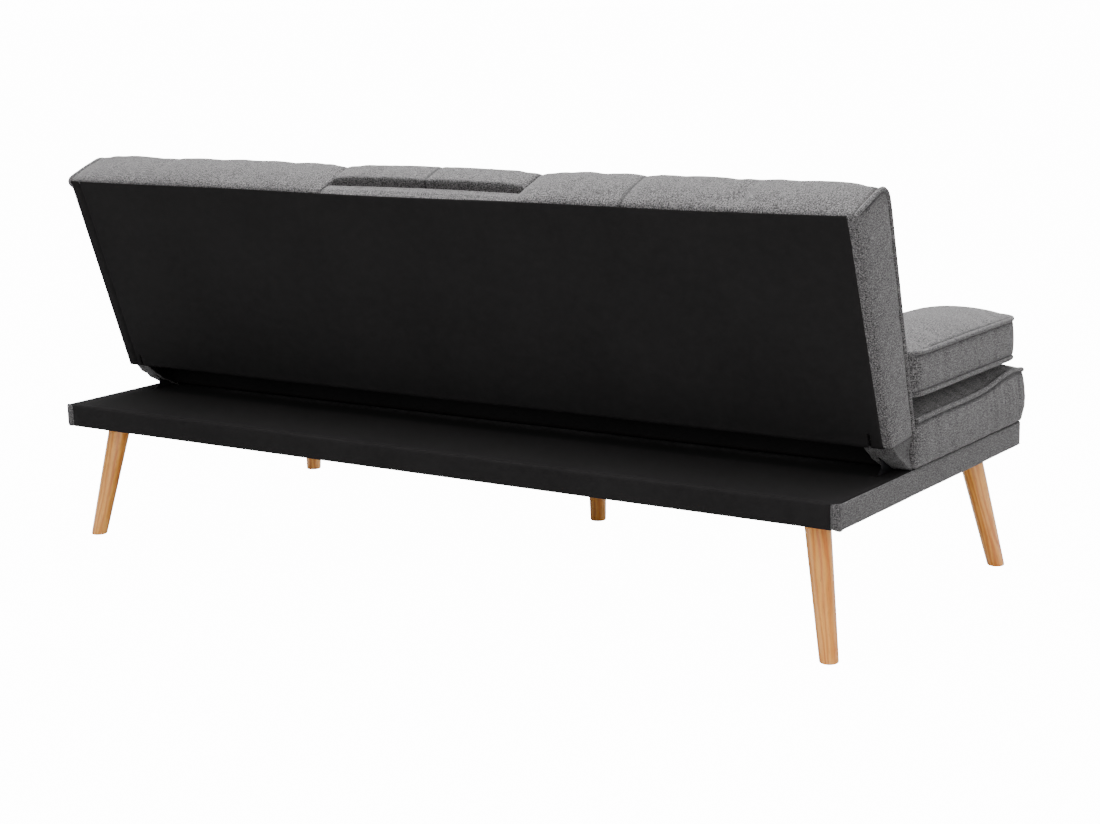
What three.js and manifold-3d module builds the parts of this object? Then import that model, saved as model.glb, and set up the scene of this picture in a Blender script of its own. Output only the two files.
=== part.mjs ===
// Click clack sofa bed: a platform on splayed legs with a fixed seat, a back that folds flat on two ratchet
// hinges, a console that folds down out of the back, and two loose arm cushions.
// Millimetres, +Z up. The seat faces -Y, the back is towards +Y, and "left" is -X.

import * as THREE from 'three';
import { mergeVertices } from 'three/addons/utils/BufferGeometryUtils.js';
import Module from 'manifold-3d';

const wasm = await Module();
wasm.setup();

// Gaps shared by all pieces
const clearance = 0.3;
const runningClearance = 2.5;
const cutOverrun = 40;

// Platform
const platformWidth = 1800;
const platformDepth = 755;
const platformHeight = 45;
const legHeight = 236;
const deckDepth = 279.5;
const apronThickness = 3;
const apronCornerRadius = 18;
const apronReturn = 15;
const deckClothThickness = 1.5;
const dustClothThickness = 1;
const endRailThickness = 36;
const edgeRailThickness = 25;
const middleRailWidth = 36;
const crossRailWidth = 60;
const cornerBlockReach = 130;
const cornerBlockToe = 20;
const cornerBlockHeight = 36;

// Legs
const legTopRadius = 23;
const legFootRadius = 16.5;
const legFootChamfer = 3;
const legFootInsetX = 37.8;
const legFootInsetY = 32.3;
const legSplayX = 43.6;
const legSplayY = 40.9;
const centreLegFromFront = 113.5;
const legSides = 20;

// Seat springs
const springCount = 6;
const springWireRadius = 1.9;
const springHalfWidth = 22;
const springWaves = 14;
const stepsPerWave = 4;
const springWireSides = 4;

// Seat cushion
const seatHeight = 97;
const seatCrown = 26;
const seatFrontOverhang = 17.5;
const seatFrontBulge = 3.5;
const seatFrontTuck = 1.5;
const seatEndInset = 0.3;
const seatWall = 4.5;

// Quilting shared by the seat and the back
const panelsPerSide = 4;
const seamShare = 0.6;
const swellPower = 3;
const panelShares = [0, 0.14, 0.5, 0.86];
const rowShares = [0, 0.1, 0.3, 0.5, 0.7, 0.9];
const topShares = [0, 0.25, 0.5, 0.75];

// Back, measured in its own leaning frame from the hinge pivot
const pivotAboveDeck = 75;
const pivotBehindSeat = 35;
const backTilt = THREE.MathUtils.degToRad(13.65);
const pivotDepthInBack = 23;
const backBelowPivot = 20;
const backAbovePivot = 435;
const backFootDepth = 84;
const backHeadDepth = 118;
const backFootRise = 15;
const backHeadDrop = 23;
const backTopRadius = 26;
const backCrown = 14;
const backTopCrown = 13;
const backSeamShare = 0.47;
const backFrontWall = 3.6;
const backEndWall = 9.7;
const backRearWall = 1.8;
const backTopWall = 10;
const backReturnAtEnd = 22;
const backReturnAtTop = 8;
const rearPanelThickness = 1.2;
const cornerSteps = 4;

// Back frame
const endBoardThickness = 26;
const postThickness = 22;
const backRailThickness = 22;
const bottomBoardFoot = -3;
const bottomBoardTop = 112;
const topRailHeight = 40;
const topRailDrop = 29;
const hingeSpace = 16;
const hingeSlotMargin = 8;
const hingeCutRise = 61;

// Console and its bay
const bayHalfWidth = 226;
const bayDepth = 81;
const bayFloorRise = 41;
const bayWall = 3;
const lipDrop = 11;
const consoleDepth = 77;
const consoleFootRise = 47;
const consoleFootRadius = 14;
const consoleFootPad = 19;
const consoleCrown = 10;
const consoleWall = 4.2;
const consoleFrontWall = 3.6;
const consoleRearWall = 3;
const consoleTopWall = 6;
const consolePivotDepth = 21;
const consolePivotRise = 83;
const consoleBoardThickness = 12;
const consoleCheekFront = 11;
const consolePinRadius = 5;
const consolePinHeadRadius = 9;
const consolePinHeadLength = 3;
const cupRadius = 39;
const cupWall = 2;
const cupDepth = 50;
const cupFlangeWidth = 7;
const cupSpacing = 190;
const cupRise = 250;

// Click-clack hinge
const plateThickness = 3;
const hingePinRadius = 4;
const hingePinHeadRadius = 8;
const hingePinHeadLength = 2.5;
const countersinkDepth = 1.5;
const countersinkRadius = 6;
const notchCount = 7;
const notchPitch = THREE.MathUtils.degToRad(74 / 6);
const notchRootHalf = THREE.MathUtils.degToRad(1.5);
const toothLand = THREE.MathUtils.degToRad(2);
const sectorTipRadius = 31;
const sectorRootRadius = 26;
const sectorBossRadius = 15;
const sectorFlank = THREE.MathUtils.degToRad(9);
const pawlAngle = THREE.MathUtils.degToRad(30);
const pawlPivotAngle = THREE.MathUtils.degToRad(72);
const pawlPivotRadius = 38;
const pawlBossRadius = 6;
const pawlStudRadius = 3;
const pawlWidth = 7;
const pawlPlay = THREE.MathUtils.degToRad(0.8);
const pawlSeatGap = 0.5;
const studOverrun = 1.5;
const neckHalfWidth = 12;
const neckFrontDrop = 14;
const neckRearDrop = 66;
const footHeight = 34;
const footDropBelowDeck = 4;
const footHalfWidth = 32;
const footFlareDrop = 60;
const armHalfWidth = 14;
const armLength = 150;
const armEyeRadius = 16;
const boltHoleRadius = 3.3;
const armBoltShares = [0.5, 0.7, 0.9];
const footBoltShares = [-0.6, 0.6];
const springStripThickness = 0.8;
const springAnchorSize = 6;
const springAnchorRise = 50;
const springAnchorOffset = 10;
const springBow = 14;
const circleSides = 24;
const smallCircleSides = 12;
const smallRadius = 7;
const pinSides = 16;

// Gusset
const gussetThickness = 1.5;
const gussetInset = 5;
const gussetReach = 32;
const gussetRearMargin = 11;

// Arm cushions
const armCushionWidth = 197;
const armCushionDepth = 460;
const armCushionHeight = 72;
const armCushionCrown = 30;
const armCushionBelly = 5;
const armCushionBehindSeat = 6;
const armCushionInset = 3;
const armCushionCornerRadius = 22;
const armCushionDraw = 3;
const armCushionWall = 5;
const armCushionCornerSteps = 5;
const zipGap = 2;
const zipShare = 0.7;
const crownShares = [0.97, 0.88, 0.72, 0.5, 0.25];
const bellyShares = [0.3, 0.6, 0.85];

// Places worked out from the sizes
const deckTop = legHeight + platformHeight;
const platformFront = -platformDepth / 2;
const platformRear = platformDepth / 2;
const railBottom = legHeight + dustClothThickness + clearance;
const railTop = deckTop - deckClothThickness - clearance;
const endRailOuter = platformWidth / 2 - apronThickness - clearance;
const endRailInner = endRailOuter - endRailThickness;
const railHalfLength = endRailInner - clearance;
const frontRailOuter = platformFront + apronThickness + clearance;
const frontRailInner = frontRailOuter + edgeRailThickness;
const rearRailOuter = platformRear - deckClothThickness - clearance;
const rearRailInner = rearRailOuter - edgeRailThickness;
const seatRear = platformRear - deckDepth;
const middleRailRear = seatRear + pivotBehindSeat - footHalfWidth - 2 * clearance;
const middleRailFront = middleRailRear - middleRailWidth;
const seatBottom = deckTop + clearance;
const seatWelt = seatBottom + seatHeight;
const seatFront = platformFront - seatFrontOverhang;
const seatMiddle = (seatFront + seatRear) / 2;
const seatHalfWidth = platformWidth / 2 - seatEndInset;
const pivotY = seatRear + pivotBehindSeat;
const pivotZ = deckTop + pivotAboveDeck;
const backFront = -pivotDepthInBack;
const backFootRear = backFront + backFootDepth;
const backHeadRear = backFront + backHeadDepth;
const backFootRearRise = backFootRise - backBelowPivot;
const backHeadRearRise = backAbovePivot - backHeadDrop;
const backHalfWidth = platformWidth / 2;
const endBoardOuter = backHalfWidth - backEndWall - clearance;
const endBoardInner = endBoardOuter - endBoardThickness;
const backPlateOuter = endBoardInner - clearance;
const backPlateInner = backPlateOuter - plateThickness;
const seatPlateOuter = backPlateInner - clearance;
const seatPlateInner = seatPlateOuter - plateThickness;
const innerFront = backFront + backFrontWall + clearance;
const backShoulder = backAbovePivot - backTopRadius - backTopWall;
const backOpeningHalf = backHalfWidth - backReturnAtEnd;
const backOpeningTop = backHeadRearRise - backReturnAtTop;
const bayRear = backFront + bayDepth;
const consoleRear = backFront + consoleDepth;
const consoleHalfWidth = bayHalfWidth - runningClearance;
const consolePivotU = backFront + consolePivotDepth;
const panelWidth = backHalfWidth / panelsPerSide;

// Finishes, with colours from the photograph
const linen = new THREE.MeshStandardMaterial({ color: 0x6f7072, roughness: 0.95, metalness: 0 });
const blackCloth = new THREE.MeshStandardMaterial({ color: 0x1c1c1d, roughness: 0.9, metalness: 0 });
const honeyWood = new THREE.MeshStandardMaterial({ color: 0xd8a35c, roughness: 0.4, metalness: 0 });
const frameWood = new THREE.MeshStandardMaterial({ color: 0xc9ab7c, roughness: 0.8, metalness: 0 });
const foam = new THREE.MeshStandardMaterial({ color: 0xe9e3cf, roughness: 1, metalness: 0 });
const steel = new THREE.MeshStandardMaterial({ color: 0x8e9196, roughness: 0.45, metalness: 0.9 });
const blackPlastic = new THREE.MeshStandardMaterial({ color: 0x202124, roughness: 0.5, metalness: 0 });

const sides = [
  { name: 'left', sign: -1 },
  { name: 'right', sign: 1 },
];

// Solids: three.js geometry in and out, joined and cut by manifold-3d
function solidOf(geometry) {
  const bare = geometry.clone();
  bare.deleteAttribute('normal');
  bare.deleteAttribute('uv');
  const merged = mergeVertices(bare);
  const mesh = new wasm.Mesh({
    numProp: 3,
    vertProperties: new Float32Array(merged.attributes.position.array),
    triVerts: new Uint32Array(merged.index.array),
  });
  return new wasm.Manifold(mesh);
}

function geometryOf(solid) {
  const mesh = solid.getMesh();
  const geometry = new THREE.BufferGeometry();
  geometry.setAttribute('position', new THREE.BufferAttribute(mesh.vertProperties, mesh.numProp));
  geometry.setIndex(new THREE.BufferAttribute(mesh.triVerts, 1));
  geometry.computeVertexNormals();
  return geometry;
}

function cut(geometry, ...tools) {
  let solid = solidOf(geometry);
  for (const tool of tools) {
    solid = solid.subtract(solidOf(tool));
  }
  return geometryOf(solid);
}

function join(...geometries) {
  let solid = solidOf(geometries[0]);
  for (const geometry of geometries.slice(1)) {
    solid = solid.add(solidOf(geometry));
  }
  return geometryOf(solid);
}

// Shapes
function outline(points) {
  return new THREE.Shape(points.map(([a, b]) => new THREE.Vector2(a, b)));
}

function polar(radius, angle) {
  return [radius * Math.cos(angle), radius * Math.sin(angle)];
}

function extrude(shape, length) {
  const options = { depth: length, bevelEnabled: false, curveSegments: circleSides / 4 };
  return new THREE.ExtrudeGeometry(shape, options);
}

// A shape drawn in the plane of Y and Z, extruded along X between two places given in any order
function prismX(shape, xA, xB) {
  const geometry = extrude(shape, Math.abs(xB - xA));
  const turn = new THREE.Matrix4().makeBasis(
    new THREE.Vector3(0, 1, 0),
    new THREE.Vector3(0, 0, 1),
    new THREE.Vector3(1, 0, 0),
  );
  geometry.applyMatrix4(turn);
  geometry.translate(Math.min(xA, xB), 0, 0);
  return geometry;
}

function prismZ(shape, zFrom, zTo) {
  const geometry = extrude(shape, zTo - zFrom);
  geometry.translate(0, 0, zFrom);
  return geometry;
}

function boxBetween([xA, xB], [yA, yB], [zA, zB]) {
  const geometry = new THREE.BoxGeometry(Math.abs(xB - xA), Math.abs(yB - yA), Math.abs(zB - zA));
  geometry.translate((xA + xB) / 2, (yA + yB) / 2, (zA + zB) / 2);
  return geometry;
}

function discX(radius, xA, xB, y, z) {
  const around = radius < smallRadius ? smallCircleSides : circleSides;
  const geometry = new THREE.CylinderGeometry(radius, radius, Math.abs(xB - xA), around);
  geometry.rotateZ(Math.PI / 2);
  geometry.translate((xA + xB) / 2, y, z);
  return geometry;
}

// A turned piece whose axis lies along X: the profile gives [radius, distance] and starts at xStart,
// and the distance grows towards the middle of the sofa
function turnedX(profile, xStart, sign, y, z) {
  const points = profile.map(([radius, distance]) => new THREE.Vector2(radius, distance));
  const geometry = new THREE.LatheGeometry(points, pinSides);
  geometry.rotateZ(sign * Math.PI / 2);
  geometry.translate(xStart, y, z);
  return geometry;
}

// Skins closed loops of points, each with as many points, and closes both ends with a fan.
// The loops run anticlockwise seen from the end that they advance to.
function loft(loops) {
  const count = loops[0].length;
  const lastLoop = loops[loops.length - 1];
  const last = (loops.length - 1) * count;
  const startCentre = last + count;
  const endCentre = startCentre + 1;
  const indices = [];
  for (let i = 0; i < count; i += 1) {
    const next = (i + 1) % count;
    for (let row = 0; row < last; row += count) {
      indices.push(row + i, row + next, row + next + count, row + i, row + next + count, row + i + count);
    }
    indices.push(startCentre, next, i, endCentre, last + i, last + next);
  }
  const centres = [loops[0], lastLoop].map((loop) => {
    const sum = loop.reduce((total, point) => total.add(point), new THREE.Vector3());
    return sum.divideScalar(count);
  });
  const points = [...loops.flat(), ...centres];
  const geometry = new THREE.BufferGeometry().setFromPoints(points);
  geometry.setIndex(indices);
  return geometry;
}

function loftAlongX(stations, sectionAt) {
  return loft(stations.map((x) => sectionAt(x).map(([y, z]) => new THREE.Vector3(x, y, z))));
}

// Quilting: how full a cushion stands between two seams, from the share at a seam to 1 in the middle
function swell(position, from, to, shareFrom, shareTo) {
  const t = (position - from) / (to - from);
  const seam = shareFrom + (shareTo - shareFrom) * t;
  const rise = 1 - Math.abs(2 * t - 1) ** swellPower;
  return seam + (1 - seam) * rise;
}

function quiltShare(position, seams) {
  const upper = Math.max(1, seams.findIndex(([place]) => position <= place));
  const [from, shareFrom] = seams[upper - 1];
  const [to, shareTo] = seams[upper];
  return swell(position, from, to, shareFrom, shareTo);
}

function stationsBetween(seams, shares) {
  const stations = [];
  for (let i = 0; i < seams.length - 1; i += 1) {
    const from = seams[i][0];
    const to = seams[i + 1][0];
    stations.push(...shares.map((share) => from + (to - from) * share));
  }
  stations.push(seams[seams.length - 1][0]);
  return stations;
}

function mirroredSeams(halfWidth, places, edgeShares, middleShare) {
  const right = places.map((place, i) => [place, edgeShares[i]]);
  const left = right.map(([place, share]) => [-place, share]).reverse();
  return [[-halfWidth, 0], ...left, [0, middleShare], ...right, [halfWidth, 0]];
}

// Scene graph
const sofa = new THREE.Group();
const backFrame = new THREE.Group();
backFrame.position.set(0, pivotY, pivotZ);
backFrame.rotation.x = -backTilt;
sofa.add(backFrame);

function add(group, name, geometry, material) {
  const mesh = new THREE.Mesh(geometry, material);
  mesh.name = name;
  group.add(mesh);
  return mesh;
}

// Platform frame: an end rail has its outer front corner cut to clear the apron's round corner
function endRail(sign) {
  const chamfer = apronCornerRadius - apronThickness;
  const rear = platformRear - apronThickness - clearance;
  const points = [
    [sign * endRailInner, frontRailOuter],
    [sign * (endRailOuter - chamfer), frontRailOuter],
    [sign * endRailOuter, frontRailOuter + chamfer],
    [sign * endRailOuter, rear],
    [sign * endRailInner, rear],
  ];
  return prismZ(outline(points), railBottom, railTop);
}

function cornerBlock(signX, signY) {
  const cornerX = signX * railHalfLength;
  const cornerY = signY > 0 ? rearRailInner - clearance : frontRailInner + clearance;
  const place = (alongX, alongY) => [cornerX - signX * alongX, cornerY - signY * alongY];
  const points = [
    place(0, 0),
    place(cornerBlockReach, 0),
    place(cornerBlockReach, cornerBlockToe),
    place(cornerBlockToe, cornerBlockReach),
    place(0, cornerBlockReach),
  ];
  return prismZ(outline(points), railBottom, railBottom + cornerBlockHeight);
}

function buildPlatformFrame() {
  const height = [railBottom, railTop];
  const length = [-railHalfLength, railHalfLength];
  add(sofa, 'base_front_rail', boxBetween(length, [frontRailOuter, frontRailInner], height), frameWood);
  add(sofa, 'base_middle_rail', boxBetween(length, [middleRailFront, middleRailRear], height), frameWood);
  add(sofa, 'base_rear_rail', boxBetween(length, [rearRailInner, rearRailOuter], height), frameWood);
  const crossX = [-crossRailWidth / 2, crossRailWidth / 2];
  const crossY = [frontRailInner + clearance, middleRailFront - clearance];
  add(sofa, 'base_cross_rail', boxBetween(crossX, crossY, height), frameWood);
  for (const side of sides) {
    add(sofa, `base_end_rail_${side.name}`, endRail(side.sign), frameWood);
    add(sofa, `corner_block_front_${side.name}`, cornerBlock(side.sign, -1), frameWood);
    add(sofa, `corner_block_rear_${side.name}`, cornerBlock(side.sign, 1), frameWood);
  }
}

// Plan of a flat piece inside the apron, its front corners cut to clear the round ones
function platformOutline(halfWidth, rear) {
  const chamfer = apronCornerRadius - apronThickness;
  return outline([
    [-halfWidth, rear],
    [-halfWidth, frontRailOuter + chamfer],
    [-halfWidth + chamfer, frontRailOuter],
    [halfWidth - chamfer, frontRailOuter],
    [halfWidth, frontRailOuter + chamfer],
    [halfWidth, rear],
  ]);
}

// Apron: one strip of linen round both ends and the front, with round front corners
function apronPath(shape, halfWidth, front, rear, radius) {
  shape.lineTo(-halfWidth, rear);
  shape.lineTo(-halfWidth, front + radius);
  shape.absarc(-halfWidth + radius, front + radius, radius, Math.PI, 1.5 * Math.PI, false);
  shape.lineTo(halfWidth - radius, front);
  shape.absarc(halfWidth - radius, front + radius, radius, 1.5 * Math.PI, 2 * Math.PI, false);
  shape.lineTo(halfWidth, rear);
}

function buildApron() {
  const outerHalf = platformWidth / 2;
  const innerHalf = outerHalf - apronThickness;
  const innerFront = platformFront + apronThickness;
  const innerRear = platformRear - apronThickness;
  const outer = new THREE.Shape();
  outer.moveTo(-outerHalf + apronReturn, platformRear);
  apronPath(outer, outerHalf, platformFront, platformRear, apronCornerRadius);
  outer.lineTo(outerHalf - apronReturn, platformRear);
  const inner = new THREE.Shape();
  const past = platformRear + cutOverrun;
  const returnHalf = outerHalf - apronReturn;
  inner.moveTo(-returnHalf, past);
  inner.lineTo(-returnHalf, innerRear);
  apronPath(inner, innerHalf, innerFront, innerRear, apronCornerRadius - apronThickness);
  inner.lineTo(returnHalf, innerRear);
  inner.lineTo(returnHalf, past);
  const block = prismZ(outer, legHeight, deckTop);
  const hollow = prismZ(inner, legHeight - cutOverrun, deckTop + cutOverrun);
  add(sofa, 'base_apron', cut(block, hollow), linen);
}

// Where a hinge arm rises through the deck cloth and the rear panel
function hingeSlot(sign, [yA, yB], [zA, zB]) {
  const inner = sign * (seatPlateInner - hingeSpace / 2);
  const outer = sign * (backPlateOuter + clearance + plateThickness);
  return boxBetween([inner, outer], [yA, yB], [zA, zB]);
}

function buildPlatformCloths() {
  const wide = platformWidth / 2 - apronThickness - clearance;
  const narrow = platformWidth / 2 - apronReturn - clearance;
  const front = seatRear - seatWall;
  const top = [deckTop - deckClothThickness, deckTop];
  const sheet = boxBetween([-wide, wide], [front, platformRear - apronThickness - clearance], top);
  const flap = boxBetween([-narrow, narrow], [front, platformRear], top);
  const dropY = [platformRear - deckClothThickness, platformRear];
  const drop = boxBetween([-narrow, narrow], dropY, [legHeight, deckTop]);
  const slotY = [seatRear + clearance, pivotY + footHalfWidth + clearance];
  const slotZ = [deckTop - cutOverrun / 2, deckTop + cutOverrun];
  const slots = sides.map((side) => hingeSlot(side.sign, slotY, slotZ));
  add(sofa, 'deck_cloth', cut(join(sheet, flap, drop), ...slots), blackCloth);

  const rear = platformRear - apronThickness - clearance;
  const dustCloth = prismZ(platformOutline(wide, rear), legHeight, legHeight + dustClothThickness);
  add(sofa, 'base_dust_cloth', dustCloth, blackCloth);
}

// Legs: a turned taper, sheared so that its foot stands flat and its head seats flat under the frame
function legGeometry(leanX, leanY) {
  const height = legHeight - clearance;
  const profile = [
    [0, 0],
    [legFootRadius - legFootChamfer / 2, 0],
    [legFootRadius, legFootChamfer],
    [legTopRadius, height],
    [0, height],
  ];
  const points = profile.map(([radius, z]) => new THREE.Vector2(radius, z));
  const geometry = new THREE.LatheGeometry(points, legSides);
  geometry.rotateX(Math.PI / 2);
  const shear = new THREE.Matrix4().set(
    1, 0, leanX / height, 0,
    0, 1, leanY / height, 0,
    0, 0, 1, 0,
    0, 0, 0, 1,
  );
  geometry.applyMatrix4(shear);
  return geometry;
}

function buildLegs() {
  const footX = platformWidth / 2 - legFootInsetX;
  const footY = platformDepth / 2 - legFootInsetY;
  const rows = [
    { name: 'front', sign: -1 },
    { name: 'rear', sign: 1 },
  ];
  for (const row of rows) {
    for (const side of sides) {
      const geometry = legGeometry(-side.sign * legSplayX, -row.sign * legSplayY);
      const leg = add(sofa, `leg_${row.name}_${side.name}`, geometry, honeyWood);
      leg.position.set(side.sign * footX, row.sign * footY, 0);
    }
  }
  const centreLeg = add(sofa, 'leg_centre', legGeometry(0, 0), honeyWood);
  centreLeg.position.set(0, platformFront + centreLegFromFront, 0);
}

// Seat springs: sinuous wires from the front rail to the middle rail
class SinuousCurve extends THREE.Curve {
  constructor(x, yFrom, yTo, z) {
    super();
    this.x = x;
    this.yFrom = yFrom;
    this.yTo = yTo;
    this.z = z;
  }

  getPoint(t, target = new THREE.Vector3()) {
    const side = springHalfWidth * Math.cos(Math.PI * springWaves * t);
    return target.set(this.x + side, this.yFrom + (this.yTo - this.yFrom) * t, this.z);
  }

  getPointAt(t, target) {
    return this.getPoint(t, target);
  }
}

function buildSeatSprings() {
  const wire = new THREE.Shape();
  wire.absarc(0, 0, springWireRadius, 0, 2 * Math.PI, false);
  const pitch = (2 * railHalfLength) / springCount;
  const z = railTop - springWireRadius;
  for (let i = 0; i < springCount; i += 1) {
    const x = -railHalfLength + pitch * (i + 0.5);
    const path = new SinuousCurve(x, frontRailInner + clearance, middleRailFront - clearance, z);
    const geometry = new THREE.ExtrudeGeometry(wire, {
      steps: springWaves * stepsPerWave,
      extrudePath: path,
      curveSegments: springWireSides / 2,
    });
    add(sofa, `seat_spring_${i + 1}`, geometry, steel);
  }
}

// Seat cushion: boxed sides with a welt, quilted crown, front swelling past the platform
const seatColumns = mirroredSeams(
  seatHalfWidth,
  [panelWidth, 2 * panelWidth, 3 * panelWidth],
  [seamShare, seamShare, seamShare],
  seamShare,
);
const seatRows = [[seatFront, 0], [seatMiddle, seamShare], [seatRear, 0]];

function seatTopAt(x, y) {
  return seatWelt + seatCrown * quiltShare(x, seatColumns) * quiltShare(y, seatRows);
}

function seatSection(x) {
  const top = stationsBetween(seatRows, rowShares).reverse();
  return [
    [platformFront - seatFrontTuck, seatBottom],
    [seatRear, seatBottom],
    ...top.map((y) => [y, seatTopAt(x, y)]),
    [seatFront - seatFrontBulge, seatBottom + seatHeight / 2],
    [seatFront - seatFrontBulge / 2, seatBottom + seatHeight / 4],
  ];
}

function buildSeat() {
  const shell = loftAlongX(stationsBetween(seatColumns, panelShares), seatSection);
  const half = seatHalfWidth - seatWall;
  const front = platformFront + apronThickness;
  const rear = seatRear - seatWall;
  const hollow = boxBetween([-half, half], [front, rear], [seatBottom - cutOverrun, seatWelt - seatWall]);
  add(sofa, 'seat_cover', cut(shell, hollow), linen);
  const plan = platformOutline(half - clearance, rear - clearance);
  add(sofa, 'seat_foam', prismZ(plan, railTop + clearance, seatWelt - seatWall - clearance), foam);
}

// Back: its frame of reference leans, u runs from front to rear and v from the pivot upwards
function backRearAt(v) {
  const slope = (backHeadRear - backFootRear) / (backHeadRearRise - backFootRearRise);
  return backFootRear + slope * (v - backFootRearRise);
}

function backBottomAt(u) {
  return -backBelowPivot + (backFootRise * (u - backFront)) / backFootDepth;
}

const backColumns = mirroredSeams(
  backHalfWidth,
  [bayHalfWidth, 2 * panelWidth, 3 * panelWidth],
  [0, backSeamShare, backSeamShare],
  backSeamShare,
);
const backRows = [[-backBelowPivot, 0], [backAbovePivot / 2, backSeamShare], [backAbovePivot, 1]];

// Sloping top, round top edge and quilted front of the back or the console at one station
function paddedHead(columnShare, crown, rearU, rows) {
  const centre = [backFront + backTopRadius, backAbovePivot - backTopRadius];
  const slope = backHeadDrop / (backHeadRear - centre[0]);
  const top = topShares.map((share) => {
    const u = rearU + (centre[0] - rearU) * share;
    return [u, backAbovePivot - slope * (u - centre[0]) + backTopCrown * columnShare];
  });
  const frontCrown = crown * quiltShare(centre[1], rows);
  const corner = [];
  for (let i = 0; i <= cornerSteps; i += 1) {
    const share = i / cornerSteps;
    const lift = backTopCrown + (frontCrown - backTopCrown) * share;
    const [du, dv] = polar(backTopRadius + lift * columnShare, (Math.PI / 2) * (1 + share));
    corner.push([centre[0] + du, centre[1] + dv]);
  }
  const heights = stationsBetween(rows, rowShares).filter((v) => v < centre[1]).reverse();
  const front = heights.map((v) => [backFront - crown * columnShare * quiltShare(v, rows), v]);
  return [...top, ...corner, ...front];
}

function backSection(x) {
  const head = paddedHead(quiltShare(x, backColumns), backCrown, backHeadRear, backRows);
  const rearTopV = head[0][1];
  return [
    [backFootRear, backFootRearRise],
    [backRearAt(rearTopV), rearTopV],
    ...head.slice(1),
  ];
}

// Hollow of the cover between two places. The roof lists its corners from rear to front.
function backHollow(xA, xB, frontU, low, rearTopV, roof) {
  const rear = (v) => backRearAt(v) - backRearWall;
  const points = [
    [frontU, low],
    [rear(low), low],
    [rear(rearTopV), rearTopV],
    ...roof,
  ];
  return prismX(outline(points), xA, xB);
}

function buildBackCover() {
  const shell = loftAlongX(stationsBetween(backColumns, panelShares), backSection);
  const frontU = backFront + backFrontWall;
  const rearTopV = backHeadRearRise - bayWall;
  const roof = [[backFront + backTopRadius, backAbovePivot - backTopWall], [frontU, backShoulder]];
  const above = backAbovePivot + cutOverrun;
  const openBottom = -backBelowPivot - cutOverrun;
  const bayX = [-bayHalfWidth, bayHalfWidth];
  const wallOuter = bayHalfWidth + bayWall;
  const middleHalf = wallOuter + bayWall;
  const underBay = bayFloorRise - bayWall;
  const behindBay = bayRear + bayWall;
  const tools = [
    boxBetween(bayX, [backFront - cutOverrun, bayRear], [bayFloorRise, above]),
    boxBetween(bayX, [backFront - cutOverrun, backHeadRear + cutOverrun], [backAbovePivot - lipDrop, above]),
    backHollow(-middleHalf, middleHalf, frontU, openBottom, underBay, [[frontU, underBay]]),
    backHollow(-middleHalf, middleHalf, behindBay, underBay - bayWall, rearTopV, [[behindBay, rearTopV]]),
    rearSlab(backOpeningHalf, backOpeningTop, backRearWall + clearance, cutOverrun),
  ];
  for (const side of sides) {
    const end = side.sign * (endBoardOuter + clearance);
    tools.push(backHollow(side.sign * wallOuter, end, frontU, openBottom, rearTopV, roof));
    const holeX = [side.sign * (bayHalfWidth - bayWall), side.sign * middleHalf];
    tools.push(discX(consolePinRadius + clearance, ...holeX, consolePivotU, consolePivotRise));
  }
  add(backFrame, 'back_cover', cut(shell, ...tools), linen);
}

// A slab along the back's rear face, from so far inside it to so far outside it
function rearSlab(halfWidth, topV, inside, outside) {
  const low = -backBelowPivot - cutOverrun;
  const points = [
    [backRearAt(low) - inside, low],
    [backRearAt(low) + outside, low],
    [backRearAt(topV) + outside, topV],
    [backRearAt(topV) - inside, topV],
  ];
  return prismX(outline(points), -halfWidth, halfWidth);
}

function buildRearPanel() {
  const half = backOpeningHalf - clearance;
  const top = backOpeningTop - clearance;
  const front = innerFront;
  const outer = (v) => backRearAt(v) - clearance;
  const inner = (v) => outer(v) - rearPanelThickness;
  const foot = backFootRearRise;
  const points = [
    [front, backBottomAt(front)],
    [outer(foot), foot],
    [outer(top), top],
    [inner(top), top],
    [inner(foot), foot + rearPanelThickness],
    [front, backBottomAt(front) + rearPanelThickness],
  ];
  const slotU = [backFront - cutOverrun, backFootRear + cutOverrun];
  const slotV = [-backBelowPivot - cutOverrun, neckHalfWidth + hingeSlotMargin];
  const slots = sides.map((side) => hingeSlot(side.sign, slotU, slotV));
  add(backFrame, 'back_rear_panel', cut(prismX(outline(points), -half, half), ...slots), blackCloth);
}

// Frame of the back: full-depth end boards and posts, with flat rails behind the foam
const frameRearGap = backRearWall + clearance;
const frameFoot = rearPanelThickness + 2 * clearance;

function frameRearAt(v) {
  return backRearAt(v) - frameRearGap;
}

function boardOutline(rearAt, topV) {
  const front = innerFront;
  const foot = (u) => backBottomAt(u) + frameFoot;
  return outline([
    [front, foot(front)],
    [rearAt(foot(backFootRear)), foot(backFootRear)],
    [rearAt(topV), topV],
    [front, topV],
  ]);
}

function railRearAt(v) {
  return frameRearAt(v) - backRailThickness - clearance;
}

function backRail(bottomV, topV) {
  const front = (v) => frameRearAt(v) - backRailThickness;
  const half = endBoardInner - clearance;
  const points = [
    [front(bottomV), bottomV],
    [frameRearAt(bottomV), bottomV],
    [frameRearAt(topV), topV],
    [front(topV), topV],
  ];
  return prismX(outline(points), -half, half);
}

// The bottom board is cut out above for the console's bay and below for the two hinge arms
function backBottomBoard() {
  const half = bayHalfWidth + bayWall + clearance;
  const u = [backFront, backHeadRear];
  const above = [bayFloorRise - bayWall - clearance, backAbovePivot];
  const below = [-backBelowPivot, hingeCutRise];
  const hingeCuts = sides.map((side) => boxBetween(
    [side.sign * (seatPlateInner - hingeSpace / 2), side.sign * (endBoardInner + clearance)],
    u,
    below,
  ));
  return cut(backRail(bottomBoardFoot, bottomBoardTop), boxBetween([-half, half], u, above), ...hingeCuts);
}

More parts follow.
